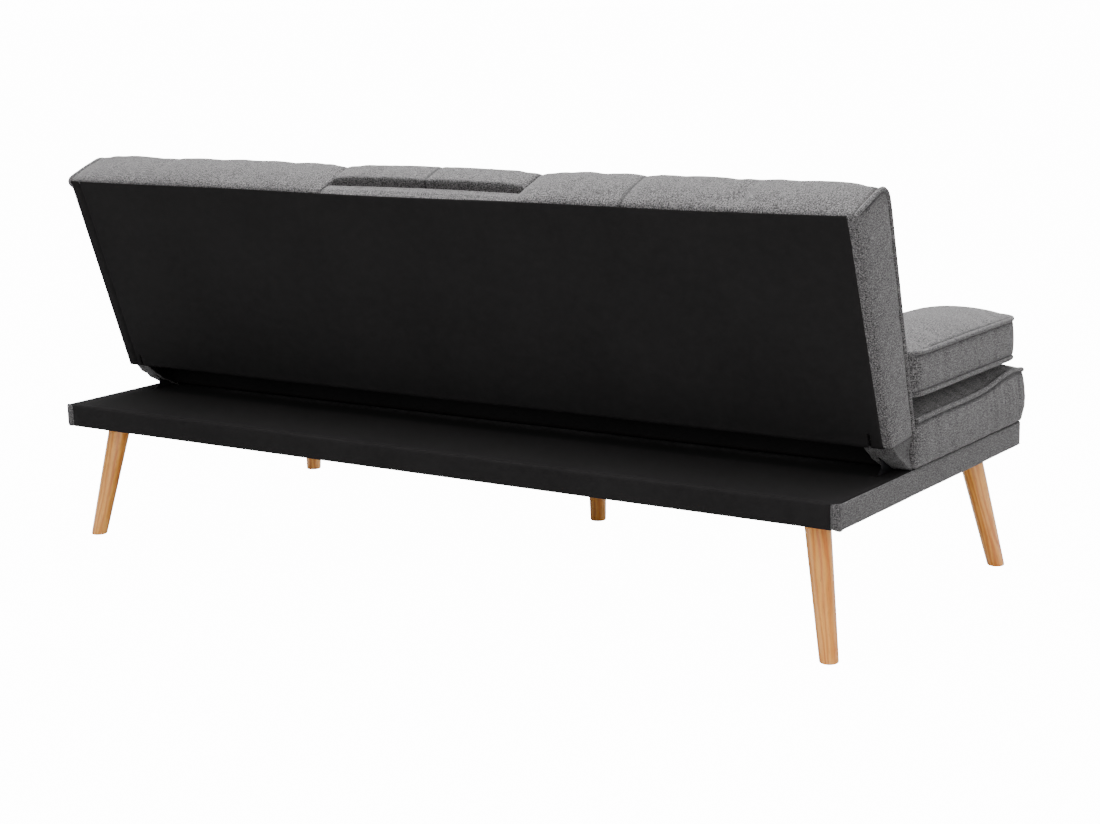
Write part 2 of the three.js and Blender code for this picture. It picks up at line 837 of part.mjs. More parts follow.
function buildBackFrame() {
  const topV = backAbovePivot - topRailDrop;
  add(backFrame, 'back_bottom_board', backBottomBoard(), frameWood);
  add(backFrame, 'back_top_rail', backRail(topV - topRailHeight, topV), frameWood);
  const postInner = bayHalfWidth + bayWall + clearance;
  const shoulder = backShoulder - clearance;
  for (const side of sides) {
    const endX = [side.sign * endBoardInner, side.sign * endBoardOuter];
    const endBoard = prismX(boardOutline(frameRearAt, shoulder), ...endX);
    add(backFrame, `back_end_board_${side.name}`, endBoard, frameWood);
    const postX = [side.sign * postInner, side.sign * (postInner + postThickness)];
    const post = prismX(boardOutline(railRearAt, shoulder), ...postX);
    const hole = discX(
      consolePinRadius + clearance,
      side.sign * (postInner - cutOverrun),
      side.sign * (postInner + postThickness + cutOverrun),
      consolePivotU,
      consolePivotRise,
    );
    add(backFrame, `back_post_${side.name}`, cut(post, hole), frameWood);
  }
}

function buildBackFoam() {
  const postOuter = bayHalfWidth + bayWall + clearance + postThickness;
  const foamInner = postOuter + consolePinHeadLength + 2 * clearance;
  const foamOuter = seatPlateInner - hingeSpace / 2;
  const shoulder = backShoulder - clearance;
  for (const side of sides) {
    const geometry = prismX(boardOutline(railRearAt, shoulder), side.sign * foamInner, side.sign * foamOuter);
    add(backFrame, `back_foam_${side.name}`, geometry, foam);
  }
  const centreHalf = bayHalfWidth + bayWall;
  const centreTop = bayFloorRise - bayWall - clearance;
  const centre = prismX(boardOutline(railRearAt, centreTop), -centreHalf, centreHalf);
  add(backFrame, 'back_foam_centre', centre, foam);
}

// Console: a wooden tray frame with two cup holders in its rear face, padded in front and covered in linen
const consoleColumns = [[-consoleHalfWidth, 0], [0, backSeamShare], [consoleHalfWidth, 0]];
const consoleFrameRear = consoleRear - consoleRearWall - clearance;
const consoleFrameHalf = consoleHalfWidth - consoleWall - clearance;
const consoleInnerFoot = consoleFootRise + consoleFootPad;
const consoleInnerTop = backAbovePivot - backTopRadius + consoleTopWall;

const consoleRows = [
  [consoleFootRise + consoleFootRadius, 0],
  [backAbovePivot / 2, backSeamShare],
  [backAbovePivot, 1],
];

// The console's rear foot is round about its pivot, so that it swings clear of the bay's rear wall
function consoleSection(x) {
  const sweep = bayRear - consolePivotU - runningClearance / 2;
  const from = -Math.asin((consolePivotRise - consoleFootRise) / sweep);
  const to = -Math.acos((consoleRear - consolePivotU) / sweep);
  const rearFoot = [];
  const frontFoot = [];
  for (let i = 0; i <= cornerSteps; i += 1) {
    const share = i / cornerSteps;
    const [ru, rv] = polar(sweep, from + (to - from) * share);
    rearFoot.push([consolePivotU + ru, consolePivotRise + rv]);
    const [fu, fv] = polar(consoleFootRadius, Math.PI * (1 + share / 2));
    frontFoot.push([backFront + consoleFootRadius + fu, consoleRows[0][0] + fv]);
  }
  const head = paddedHead(quiltShare(x, consoleColumns), consoleCrown, consoleRear, consoleRows);
  return [...rearFoot, ...head, ...frontFoot.slice(1)];
}

function consoleBores(radius, xReach) {
  return sides.map((side) => discX(
    radius,
    side.sign * (consoleFrameHalf - xReach),
    side.sign * (consoleHalfWidth + cutOverrun),
    consolePivotU,
    consolePivotRise,
  ));
}

function cupTools(radius, uFrom) {
  return sides.map((side) => {
    const length = consoleRear + cutOverrun - uFrom;
    const geometry = new THREE.CylinderGeometry(radius, radius, length, circleSides);
    geometry.translate((side.sign * cupSpacing) / 2, uFrom + length / 2, cupRise);
    return geometry;
  });
}

function buildConsole() {
  const cupHole = cupRadius + clearance;
  const shell = loftAlongX(stationsBetween(consoleColumns, panelShares), consoleSection);
  const hollowX = [-consoleFrameHalf - clearance, consoleFrameHalf + clearance];
  const hollowU = [backFront + consoleFrontWall, consoleRear - consoleRearWall];
  const hollow = boxBetween(hollowX, hollowU, [consoleInnerFoot, consoleInnerTop]);
  const bore = consolePinRadius + clearance;
  const coverTools = [hollow, ...cupTools(cupHole, consoleFrameRear), ...consoleBores(bore, 0)];
  add(backFrame, 'console_cover', cut(shell, ...coverTools), linen);

  const boardFront = consoleFrameRear - consoleBoardThickness;
  const frameV = [consoleInnerFoot + clearance, consoleInnerTop - clearance];
  const board = boxBetween([-consoleFrameHalf, consoleFrameHalf], [boardFront, consoleFrameRear], frameV);
  const cheekFront = backFront + consoleCheekFront;
  const cheeks = sides.map((side) => boxBetween(
    [side.sign * (consoleFrameHalf - consoleBoardThickness), side.sign * consoleFrameHalf],
    [cheekFront, consoleFrameRear],
    frameV,
  ));
  const boardHoles = cupTools(cupHole, boardFront - consoleBoardThickness);
  const cheekHoles = consoleBores(bore, 2 * consoleBoardThickness);
  add(backFrame, 'console_frame', cut(join(board, ...cheeks), ...boardHoles, ...cheekHoles), frameWood);

  const padHalf = consoleFrameHalf - consoleBoardThickness - clearance;
  const padU = [backFront + consoleFrontWall + clearance, boardFront - clearance];
  const pad = boxBetween([-padHalf, padHalf], padU, frameV);
  const wells = cupTools(cupHole, consoleRear - cupDepth - clearance);
  add(backFrame, 'console_foam', cut(pad, ...wells), foam);
}

function buildCupHolders() {
  const seat = consoleRear + clearance;
  const profile = [
    [0, seat - cupDepth],
    [cupRadius, seat - cupDepth],
    [cupRadius, seat],
    [cupRadius + cupFlangeWidth, seat],
    [cupRadius + cupFlangeWidth, seat + cupWall],
    [cupRadius - cupWall, seat + cupWall],
    [cupRadius - cupWall, seat - cupDepth + cupWall],
    [0, seat - cupDepth + cupWall],
  ];
  const points = profile.map(([radius, u]) => new THREE.Vector2(radius, u));
  for (const side of sides) {
    const geometry = new THREE.LatheGeometry(points, circleSides);
    geometry.translate((side.sign * cupSpacing) / 2, 0, cupRise);
    add(backFrame, `cup_holder_${side.name}`, geometry, blackPlastic);
  }
}

function buildConsolePins() {
  const headSeat = bayHalfWidth + bayWall + clearance + postThickness + clearance;
  const tip = headSeat + consolePinHeadLength - (consoleFrameHalf - consoleBoardThickness) - 2 * clearance;
  const profile = [
    [0, 0],
    [consolePinHeadRadius, 0],
    [consolePinHeadRadius, consolePinHeadLength],
    [consolePinRadius, consolePinHeadLength],
    [consolePinRadius, tip],
    [0, tip],
  ];
  for (const side of sides) {
    const start = side.sign * (headSeat + consolePinHeadLength);
    const geometry = turnedX(profile, start, side.sign, consolePivotU, consolePivotRise);
    add(backFrame, `console_pin_${side.name}`, geometry, steel);
  }
}

// Click-clack hinge, seat side: a foot on the end rail, a neck through the deck and a toothed sector.
// Angles are in the plane of Y and Z about the pivot. Each notch has a steep face that stops the back from
// falling and a ramp that lets the pawl ride out when the back is pulled up.
const firstNotch = pawlAngle - backTilt;
const rampAngle = notchPitch - 2 * notchRootHalf - toothLand;

function sectorOutline() {
  const lowest = firstNotch - (notchCount - 1) * notchPitch;
  const points = [[0, 0], polar(sectorTipRadius, lowest - notchRootHalf - toothLand)];
  for (let k = notchCount - 1; k >= 0; k -= 1) {
    const notch = firstNotch - k * notchPitch;
    points.push(polar(sectorTipRadius, notch - notchRootHalf));
    points.push(polar(sectorRootRadius, notch - notchRootHalf));
    points.push(polar(sectorRootRadius, notch + notchRootHalf));
    points.push(polar(sectorTipRadius, notch + notchRootHalf + rampAngle));
  }
  const lastTooth = firstNotch + notchRootHalf + rampAngle + toothLand;
  points.push(polar(sectorTipRadius, lastTooth));
  points.push(polar(sectorBossRadius, lastTooth + sectorFlank));
  return outline(points);
}

function hingePinProfile(grow) {
  const length = 2 * plateThickness + 2 * clearance;
  return [
    [0, 0],
    [countersinkRadius + grow, 0],
    [hingePinRadius + grow, countersinkDepth],
    [hingePinRadius + grow, length],
    [hingePinHeadRadius, length],
    [hingePinHeadRadius, length + hingePinHeadLength / 2],
    [hingePinHeadRadius - hingePinHeadLength / 2, length + hingePinHeadLength],
    [0, length + hingePinHeadLength],
  ];
}

function seatPlate(side) {
  const x = [side.sign * seatPlateInner, side.sign * seatPlateOuter];
  const footTop = -pivotAboveDeck - footDropBelowDeck;
  const footBottom = footTop - footHeight;
  const neck = outline([
    [-neckHalfWidth, 0],
    [-neckHalfWidth, -neckFrontDrop],
    [-footHalfWidth, -footFlareDrop],
    [-footHalfWidth, footBottom],
    [footHalfWidth, footBottom],
    [footHalfWidth, footTop],
    [neckHalfWidth, -neckRearDrop],
    [neckHalfWidth, 0],
  ]);
  const body = join(
    prismX(neck, ...x),
    prismX(sectorOutline(), ...x),
    discX(sectorBossRadius, ...x, 0, 0),
  );
  const past = [side.sign * (seatPlateInner - cutOverrun), side.sign * (seatPlateOuter + cutOverrun)];
  const bolts = footBoltShares.map((share) => discX(
    boltHoleRadius,
    ...past,
    share * footHalfWidth,
    (footTop + footBottom) / 2,
  ));
  return cut(body, discX(hingePinRadius + clearance, ...past, 0, 0), ...bolts);
}

// Click-clack hinge, back side: an arm bolted to the end board, with the pawl's stud and the spring's anchor
function backPlate(side) {
  const x = [side.sign * backPlateInner, side.sign * backPlateOuter];
  const past = [side.sign * (backPlateInner - cutOverrun), side.sign * (backPlateOuter + cutOverrun)];
  const [studU, studV] = polar(pawlPivotRadius, pawlPivotAngle);
  const arm = boxBetween(x, [-armHalfWidth, armHalfWidth], [0, armLength]);
  const studEnd = side.sign * (seatPlateInner - studOverrun);
  const body = join(
    arm,
    discX(armEyeRadius, ...x, 0, 0),
    discX(armHalfWidth, ...x, 0, armLength),
    discX(pawlBossRadius + plateThickness, ...x, studU, studV),
    discX(pawlStudRadius, x[1], studEnd, studU, studV),
    boxBetween(
      [x[1], side.sign * seatPlateInner],
      [-springAnchorOffset, springAnchorSize - springAnchorOffset],
      [springAnchorRise, springAnchorRise + springAnchorSize],
    ),
  );
  const bore = turnedX(hingePinProfile(clearance), side.sign * backPlateOuter, side.sign, 0, 0);
  const bolts = armBoltShares.map((share) => discX(boltHoleRadius, ...past, 0, share * armLength));
  return cut(body, bore, ...bolts);
}

// Pawl: a curved strut outside the sector, with one tooth that seats in a notch
function pawl(side) {
  const x = [side.sign * seatPlateInner, side.sign * seatPlateOuter];
  const [bossU, bossV] = polar(pawlPivotRadius, pawlPivotAngle);
  const innerRadius = sectorTipRadius + 2 * clearance;
  const start = pawlAngle - notchRootHalf + pawlPlay;
  const strut = new THREE.Shape();
  strut.absarc(0, 0, innerRadius + pawlWidth, start, pawlPivotAngle, false);
  strut.absarc(0, 0, innerRadius, pawlPivotAngle, start, true);
  const rampSlope = (sectorTipRadius - sectorRootRadius) / rampAngle;
  const toothRoot = sectorRootRadius + pawlSeatGap;
  const toothTop = innerRadius + pawlWidth / 4;
  const rampFoot = pawlAngle + notchRootHalf;
  const tooth = outline([
    polar(toothRoot, start),
    polar(toothRoot, rampFoot),
    polar(toothTop, rampFoot + (toothTop - toothRoot) / rampSlope),
    polar(toothTop, start),
  ]);
  const body = join(
    prismX(strut, ...x),
    prismX(tooth, ...x),
    discX(pawlBossRadius, ...x, bossU, bossV),
  );
  const past = [side.sign * (seatPlateInner - cutOverrun), side.sign * (seatPlateOuter + cutOverrun)];
  return cut(body, discX(pawlStudRadius + clearance, ...past, bossU, bossV));
}

// Leaf spring that presses the pawl into its notch, from the anchor on the back plate to the strut's back
function pawlSpring(side) {
  const half = springStripThickness / 2;
  const outerRadius = sectorTipRadius + 2 * clearance + pawlWidth;
  const anchorEdge = springAnchorSize - springAnchorOffset + clearance;
  const from = new THREE.Vector2(anchorEdge, springAnchorRise + springAnchorSize / 2);
  const to = new THREE.Vector2(...polar(outerRadius + half + clearance, (pawlAngle + pawlPivotAngle) / 2));
  const bow = new THREE.Vector2(to.x, from.y + springBow / 2);
  const curve = new THREE.QuadraticBezierCurve(from, bow, to);
  const samples = Array.from({ length: circleSides / 2 + 1 }, (_, i) => i / (circleSides / 2));
  const edge = (offset) => samples.map((t) => {
    const point = curve.getPoint(t);
    const tangent = curve.getTangent(t);
    return [point.x - tangent.y * offset, point.y + tangent.x * offset];
  });
  const points = [...edge(-half), ...edge(half).reverse()];
  return prismX(outline(points), side.sign * seatPlateInner, side.sign * seatPlateOuter);
}

function buildHinges() {
  for (const side of sides) {
    const plate = add(sofa, `hinge_seat_plate_${side.name}`, seatPlate(side), steel);
    plate.position.set(0, pivotY, pivotZ);
    add(backFrame, `hinge_back_plate_${side.name}`, backPlate(side), steel);
    const pin = turnedX(hingePinProfile(0), side.sign * backPlateOuter, side.sign, 0, 0);
    add(backFrame, `hinge_pin_${side.name}`, pin, steel);
    add(backFrame, `hinge_pawl_${side.name}`, pawl(side), steel);
    add(backFrame, `pawl_spring_${side.name}`, pawlSpring(side), steel);
  }
}

// Gussets: a linen web at each end between the seat, the deck and the back's lower edge
function gusset(sign) {
  const outer = platformWidth / 2 - gussetInset;
  const front = seatRear + clearance;
  const rearBottom = new THREE.Vector3(0, backFootRear, backFootRearRise);
  rearBottom.applyAxisAngle(new THREE.Vector3(1, 0, 0), -backTilt);
  const frontBottom = new THREE.Vector3(0, backFront, -backBelowPivot);
  frontBottom.applyAxisAngle(new THREE.Vector3(1, 0, 0), -backTilt);
  const rear = pivotY + rearBottom.y - gussetRearMargin;
  const top = pivotZ + Math.min(rearBottom.z, frontBottom.z) - clearance;
  const low = deckTop + clearance;
  const web = outline([[front, low], [rear, top], [front, top]]);
  const drop = gussetThickness * Math.SQRT2;
  const hem = outline([[front, low], [front + drop, low], [rear, top - drop], [rear, top]]);
  return join(
    prismX(web, sign * outer, sign * (outer - gussetThickness)),
    prismX(hem, sign * outer, sign * (outer - gussetReach + gussetInset)),
  );
}

function buildGussets() {
  for (const side of sides) {
    add(sofa, `hinge_gusset_${side.name}`, gusset(side.sign), linen);
  }
}

// Arm cushions: stacked outlines with round corners, from the belly up through both welts to the crown
function roundedLoop(halfWidth, halfDepth, radius, z) {
  const loop = [];
  const quarters = [[1, 1], [-1, 1], [-1, -1], [1, -1]];
  quarters.forEach(([signX, signY], quarter) => {
    for (let i = 0; i <= armCushionCornerSteps; i += 1) {
      const angle = (quarter + i / armCushionCornerSteps) * (Math.PI / 2);
      const x = signX * (halfWidth - radius) + radius * Math.cos(angle);
      const y = signY * (halfDepth - radius) + radius * Math.sin(angle);
      loop.push(new THREE.Vector3(x, y, z));
    }
  });
  return loop;
}

function shrunkLoop(share, z) {
  const halfWidth = armCushionWidth / 2;
  const halfDepth = armCushionDepth / 2;
  const inset = halfWidth * (1 - share);
  return roundedLoop(halfWidth - inset, halfDepth - inset, armCushionCornerRadius * share, z);
}

function armCushionShell() {
  const welt = [armCushionBelly, armCushionBelly + armCushionHeight];
  const middle = (welt[0] + welt[1]) / 2;
  const bellyAt = (share) => welt[0] - armCushionBelly * (1 - share ** swellPower);
  const crownAt = (share) => welt[1] + armCushionCrown * (1 - share ** swellPower);
  const drawn = (halfWidth, halfDepth) => roundedLoop(halfWidth, halfDepth, armCushionCornerRadius, middle);
  const loops = [
    ...bellyShares.map((share) => shrunkLoop(share, bellyAt(share))),
    shrunkLoop(1, welt[0]),
    drawn(armCushionWidth / 2 - armCushionDraw, armCushionDepth / 2 - armCushionDraw),
    shrunkLoop(1, welt[1]),
    ...crownShares.map((share) => shrunkLoop(share, crownAt(share))),
  ];
  return loft(loops);
}

function buildArmCushions() {
  const inset = armCushionWall + armCushionDraw;
  const halfX = armCushionWidth / 2 - inset;
  const halfY = armCushionDepth / 2 - inset;
  const low = armCushionBelly + armCushionWall;
  const high = armCushionBelly + armCushionHeight;
  const hollow = boxBetween([-halfX, halfX], [-halfY, halfY], [low, high]);
  const zipHalf = (zipShare * armCushionWidth) / 2;
  const zipZ = armCushionBelly + armCushionHeight / 2;
  const zip = boxBetween([-zipHalf, zipHalf], [0, armCushionDepth], [zipZ - zipGap / 2, zipZ + zipGap / 2]);
  const filling = boxBetween(
    [-halfX + clearance, halfX - clearance],
    [-halfY + clearance, halfY - clearance],
    [low + clearance, high - clearance],
  );
  const centreX = platformWidth / 2 - armCushionInset - armCushionWidth / 2;
  const centreY = seatRear + armCushionBehindSeat - armCushionDepth / 2;
  for (const side of sides) {
    const cover = add(sofa, `arm_cushion_cover_${side.name}`, cut(armCushionShell(), hollow, zip), linen);
    const core = add(sofa, `arm_cushion_foam_${side.name}`, filling, foam);
    for (const mesh of [cover, core]) {
      mesh.position.set(side.sign * centreX, centreY, seatWelt + seatCrown + clearance);
    }
  }
}

buildPlatformFrame();
buildApron();
buildPlatformCloths();
buildLegs();
buildSeatSprings();
buildSeat();
buildGussets();
buildBackFrame();
buildBackFoam();
buildBackCover();
buildRearPanel();
buildHinges();
buildConsole();
buildCupHolders();
buildConsolePins();
buildArmCushions();

// The origin is the middle of the footprint, on the floor
const bounds = new THREE.Box3().setFromObject(sofa, true);
const middle = bounds.getCenter(new THREE.Vector3());
sofa.position.set(-middle.x, -middle.y, -bounds.min.z);

export default sofa;
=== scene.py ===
import math

import bpy
import numpy as np
from mathutils import Matrix, Vector
from mathutils.bvhtree import BVHTree


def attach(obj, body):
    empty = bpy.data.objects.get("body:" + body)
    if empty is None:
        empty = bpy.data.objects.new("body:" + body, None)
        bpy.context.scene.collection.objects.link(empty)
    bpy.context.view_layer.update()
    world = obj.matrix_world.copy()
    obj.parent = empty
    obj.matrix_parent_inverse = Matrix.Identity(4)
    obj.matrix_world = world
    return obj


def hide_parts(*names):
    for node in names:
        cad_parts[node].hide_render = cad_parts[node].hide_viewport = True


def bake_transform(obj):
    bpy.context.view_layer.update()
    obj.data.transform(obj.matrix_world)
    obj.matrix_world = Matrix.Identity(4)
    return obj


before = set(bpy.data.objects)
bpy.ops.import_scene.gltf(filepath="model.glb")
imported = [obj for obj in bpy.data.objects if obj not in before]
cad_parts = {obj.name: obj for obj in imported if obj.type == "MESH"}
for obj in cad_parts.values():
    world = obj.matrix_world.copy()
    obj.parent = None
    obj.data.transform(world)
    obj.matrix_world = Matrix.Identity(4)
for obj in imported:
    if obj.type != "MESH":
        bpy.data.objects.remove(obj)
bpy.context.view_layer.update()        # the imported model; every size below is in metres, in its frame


# Studio. The sofa stands on a pale floor under soft light, and the camera stands where the photograph was
# taken, behind the sofa and off its left end.
camera_place = Vector((-2.449, 3.4145, 1.134))
camera_yaw = math.radians(-55.02)
camera_pitch = math.radians(-11.52)
camera_roll = math.radians(-1.51)
camera_lens = 70.27
floor_reach = 60
floor_tone = 0.62
backdrop_glow = 18.0
backdrop_share = 0.8
room_light = 0.52
paper_light = 0.35         # what the sweep's paper adds to its glow, so that the two are seen alike
softboxes = [
    # name, place, what it points at, size, power, tone
    ("softbox_above", (0.0, -0.2, 3.0), (0.0, 0.0, 0.3), 3.2, 245, (1.0, 1.0, 1.0)),
    ("softbox_behind", (-2.4, 3.4, 1.9), (-0.4, 0.2, 0.4), 1.8, 52, (1.0, 0.99, 0.98)),
    ("softbox_end", (-3.6, -0.9, 1.5), (-0.9, -0.1, 0.4), 1.6, 14, (1.0, 1.0, 1.0)),
    ("softbox_front", (1.6, -3.4, 2.2), (0.0, -0.2, 0.4), 2.2, 60, (1.0, 1.0, 1.0)),
]


class Field:
    # a value that varies over a surface; arithmetic on it adds Math nodes to its finish
    def __init__(self, finish, socket):
        self.finish = finish
        self.socket = socket

    def math(self, operation, *values):
        return self.finish.node("Math", {"operation": operation}, dict(enumerate(values)))

    def __add__(self, other):
        return self.math("ADD", self, other)

    def __sub__(self, other):
        return self.math("SUBTRACT", self, other)

    def __rsub__(self, other):
        return self.math("SUBTRACT", other, self)

    def __mul__(self, other):
        return self.math("MULTIPLY", self, other)

    def __gt__(self, other):
        return self.math("GREATER_THAN", self, other)

    def __abs__(self):
        return self.math("ABSOLUTE", self)

    def sine(self):
        return self.math("SINE", self)

    __radd__ = __add__
    __rmul__ = __mul__


class Finish:
    # one material, and the nodes that it is made of
    def __init__(self, name):
        self.material = bpy.data.materials.new(name)
        self.material.use_nodes = True
        self.tree = self.material.node_tree
        self.tree.nodes.clear()

    def node(self, kind, settings, values, output=0):
        made = self.tree.nodes.new("ShaderNode" + kind)
        for setting, value in settings.items():
            if setting == "stops":
                for stop in range(2, len(value)):
                    made.color_ramp.elements.new(1.0)
                for element, (place, colour) in zip(made.color_ramp.elements, value):
                    element.position = place
                    element.color = (*colour, 1.0)
            else:
                setattr(made, setting, value)
        for name, value in values.items():
            if isinstance(value, Field):
                self.tree.links.new(value.socket, made.inputs[name])
            else:
                made.inputs[name].default_value = value
        return Field(self, made.outputs[output] if made.outputs else None)

    def place(self):
        return self.node("TexCoord", {}, {}, output="Object")

    def noise(self, place, scale, detail=2.0, roughness=0.5):
        return self.node("TexNoise", {}, {
            "Vector": place, "Scale": scale, "Detail": detail, "Roughness": roughness,
        })

    def stretched(self, place, scale, offset=(0.0, 0.0, 0.0)):
        return self.node("Mapping", {}, {"Vector": place, "Location": offset, "Scale": scale})

    def ramp(self, share, stops):
        return self.node("ValToRGB", {"stops": stops}, {"Fac": share})

    def between(self, share, first, second):
        return self.node("Mix", {"data_type": "RGBA"}, {0: share, 6: first, 7: second}, output=2)

    def bump(self, height, distance, strength=1.0):
        return self.node("Bump", {}, {"Height": height, "Distance": distance, "Strength": strength})

    def done(self, values):
        shader = self.node("BsdfPrincipled", {}, values)
        self.node("OutputMaterial", {}, {"Surface": shader})
        return self.material


def made_piece(name, points, faces, finish):
    # a smooth mesh; its faces wind anticlockwise seen from outside
    mesh = bpy.data.meshes.new(name)
    mesh.from_pydata([tuple(point) for point in points], [], faces)
    mesh.polygons.foreach_set("use_smooth", [True] * len(mesh.polygons))
    mesh.materials.append(finish)
    piece = bpy.data.objects.new(name, mesh)
    bpy.context.scene.collection.objects.link(piece)
    return piece


# the sweep under and behind the sofa is lit on its own, so it is seen nearly white
sweep = Finish("studio_sweep")
sweep_cloud = sweep.noise(sweep.place(), 0.6)
paper = sweep.node("BsdfPrincipled", {}, {
    "Base Color": sweep.ramp(sweep_cloud, [(0.0, (floor_tone * 0.99,) * 3), (1.0, (floor_tone * 1.01,) * 3)]),
    "Roughness": 0.7,
})
glow = sweep.node("Emission", {}, {"Strength": backdrop_glow})
seen_share = sweep.node("LightPath", {}, {}, output="Is Camera Ray") * backdrop_share
sweep.node("OutputMaterial", {}, {"Surface": sweep.node("MixShader", {}, {0: seen_share, 1: paper, 2: glow})})
floor = made_piece(
    "studio_floor",
    [(sx * floor_reach, sy * floor_reach, 0.0) for sx, sy in ((-1, -1), (1, -1), (1, 1), (-1, 1))],
    [(0, 1, 2, 3)],
    sweep.material,
)

for name, place, target, size, power, tone in softboxes:
    lamp = bpy.data.lights.new(name, "AREA")
    lamp.shape = "SQUARE"
    lamp.size = size
    lamp.energy = power
    lamp.color = tone
    softbox = bpy.data.objects.new(name, lamp)
    softbox.location = place
    softbox.rotation_mode = "QUATERNION"
    softbox.rotation_quaternion = (Vector(target) - Vector(place)).to_track_quat("-Z", "Y")
    bpy.context.scene.collection.objects.link(softbox)

world = bpy.data.worlds.new("studio")
world.use_nodes = True
seen = world.node_tree.nodes.new("ShaderNodeLightPath")
strength = world.node_tree.nodes.new("ShaderNodeMath")
strength.operation = "MULTIPLY_ADD"
strength.inputs[1].default_value = backdrop_glow * backdrop_share - room_light + paper_light
strength.inputs[2].default_value = room_light
background = world.node_tree.nodes["Background"]
background.inputs["Color"].default_value = (1.0, 1.0, 1.0, 1.0)
world.node_tree.links.new(seen.outputs["Is Camera Ray"], strength.inputs[0])
world.node_tree.links.new(strength.outputs["Value"], background.inputs["Strength"])
bpy.context.scene.world = world

forward = Vector((
    math.cos(camera_yaw) * math.cos(camera_pitch),
    math.sin(camera_yaw) * math.cos(camera_pitch),
    math.sin(camera_pitch),
))
level_right = forward.cross(Vector((0.0, 0.0, 1.0))).normalized()
level_up = level_right.cross(forward)
camera_right = level_right * math.cos(camera_roll) + level_up * math.sin(camera_roll)
camera_up = level_up * math.cos(camera_roll) - level_right * math.sin(camera_roll)
camera_data = bpy.data.cameras.new("camera")
camera_data.sensor_width = 36
camera_data.lens = camera_lens
camera = bpy.data.objects.new("camera", camera_data)
turn = Matrix((camera_right, camera_up, -forward)).transposed().to_4x4()
camera.matrix_world = Matrix.Translation(camera_place) @ turn
bpy.context.scene.collection.objects.link(camera)
bpy.context.scene.camera = camera


# Legs. Five turned legs of lacquered light oak, tapering to the floor, the corner ones splayed outwards.
# Each screws up into a plate in a corner block with a bolt that is out of sight.
leg_height = 0.2357
leg_top_radius = 0.023
leg_foot_radius = 0.0165
leg_ease = 0.0028
leg_sides = 56
leg_rings = 18
leg_ease_rings = 5
oak_pale = (1.0, 0.45, 0.075)
oak_dark = (0.68, 0.175, 0.011)
leg_feet = {
    # name: foot on the floor, lean of the head
    "leg_front_left": ((-0.8622, -0.3347), (0.0436, 0.0409)),
    "leg_front_right": ((0.8622, -0.3347), (-0.0436, 0.0409)),
    "leg_rear_left": ((-0.8622, 0.3557), (0.0436, -0.0409)),
    "leg_rear_right": ((0.8622, 0.3557), (-0.0436, -0.0409)),
    "leg_centre": ((0.0, -0.2535), (0.0, 0.0)),
}


def oak(name, grain_offset):
    finish = Finish(name)
    place = finish.node("Attribute", {"attribute_name": "grain"}, {}, output="Vector")
    along = finish.stretched(place, (1.0, 1.0, 0.11), grain_offset)
    wander = finish.noise(finish.stretched(place, (1.0, 1.0, 0.3), grain_offset), 14.0, 3.0)
    rings = finish.node("TexWave", {"wave_type": "BANDS", "bands_direction": "X"}, {
        "Vector": along, "Scale": 36.0, "Distortion": 7.5, "Detail": 2.0, "Detail Scale": 1.6,
    })
    fibre = finish.noise(finish.stretched(place, (1.0, 1.0, 0.035), grain_offset), 620.0, 3.0, 0.6)
    pore = finish.noise(finish.stretched(place, (1.0, 1.0, 0.05), grain_offset), 1500.0, 1.0)
    pore_mask = pore > 0.66
    figure = rings * 0.34 + fibre * 0.42 + wander * 0.5 - 0.12
    middle = tuple((p + d) / 2 for p, d in zip(oak_pale, oak_dark))
    colour = finish.ramp(figure, [(0.22, oak_dark), (0.48, middle), (0.74, oak_pale)])
    shaded = finish.between(pore_mask * 0.45, colour, (*[d * 0.5 for d in oak_dark], 1.0))
    relief = fibre * 0.5 - pore_mask * 0.5
    return finish.done({
        "Base Color": shaded,
        "Roughness": wander * 0.12 + 0.26,
        "Coat Weight": 0.9,
        "Coat Roughness": 0.09,
        "Normal": finish.bump(relief, 0.00008),
    })


def turned_leg(name, foot, lean, finish):
    profile = [(leg_foot_radius - leg_ease, 0.0)]
    for step in range(1, leg_ease_rings + 1):
        angle = math.pi / 2 * step / leg_ease_rings
        radius = leg_foot_radius - leg_ease + leg_ease * math.sin(angle)
        profile.append((radius, leg_ease * (1 - math.cos(angle))))
    for step in range(1, leg_rings + 1):
        height = leg_ease + (leg_height - leg_ease) * step / leg_rings
        profile.append((leg_foot_radius + (leg_top_radius - leg_foot_radius) * height / leg_height, height))
    points, straight, faces = [], [], []
    for radius, height in [(0.0, 0.0), *profile, (0.0, leg_height)]:
        for side in range(leg_sides if radius else 1):
            angle = 2 * math.pi * side / leg_sides
            x, y = radius * math.cos(angle), radius * math.sin(angle)
            straight.append((x, y, height))
            share = height / leg_height
            points.append((foot[0] + lean[0] * share + x, foot[1] + lean[1] * share + y, height))
    last = len(points) - 1
    for side in range(leg_sides):
        beside = (side + 1) % leg_sides
        faces.append((0, 1 + beside, 1 + side))
        for ring in range(len(profile) - 1):
            low, high = 1 + ring * leg_sides, 1 + (ring + 1) * leg_sides
            faces.append((low + side, low + beside, high + beside, high + side))
        top = 1 + (len(profile) - 1) * leg_sides
        faces.append((top + side, top + beside, last))
    leg = made_piece(name, points, faces, finish)
    grain = leg.data.attributes.new("grain", "FLOAT_VECTOR", "POINT")
    grain.data.foreach_set("vector", np.array(straight, np.float32).ravel())
    return leg


for index, (node, (foot, lean)) in enumerate(leg_feet.items()):
    offset = (0.31 * index, 0.17 * index, 0.53 * index)
    leg = turned_leg(f"turned_{node}", foot, lean, oak(f"oak_{node}", offset))
    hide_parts(node)
    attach(leg, "base")


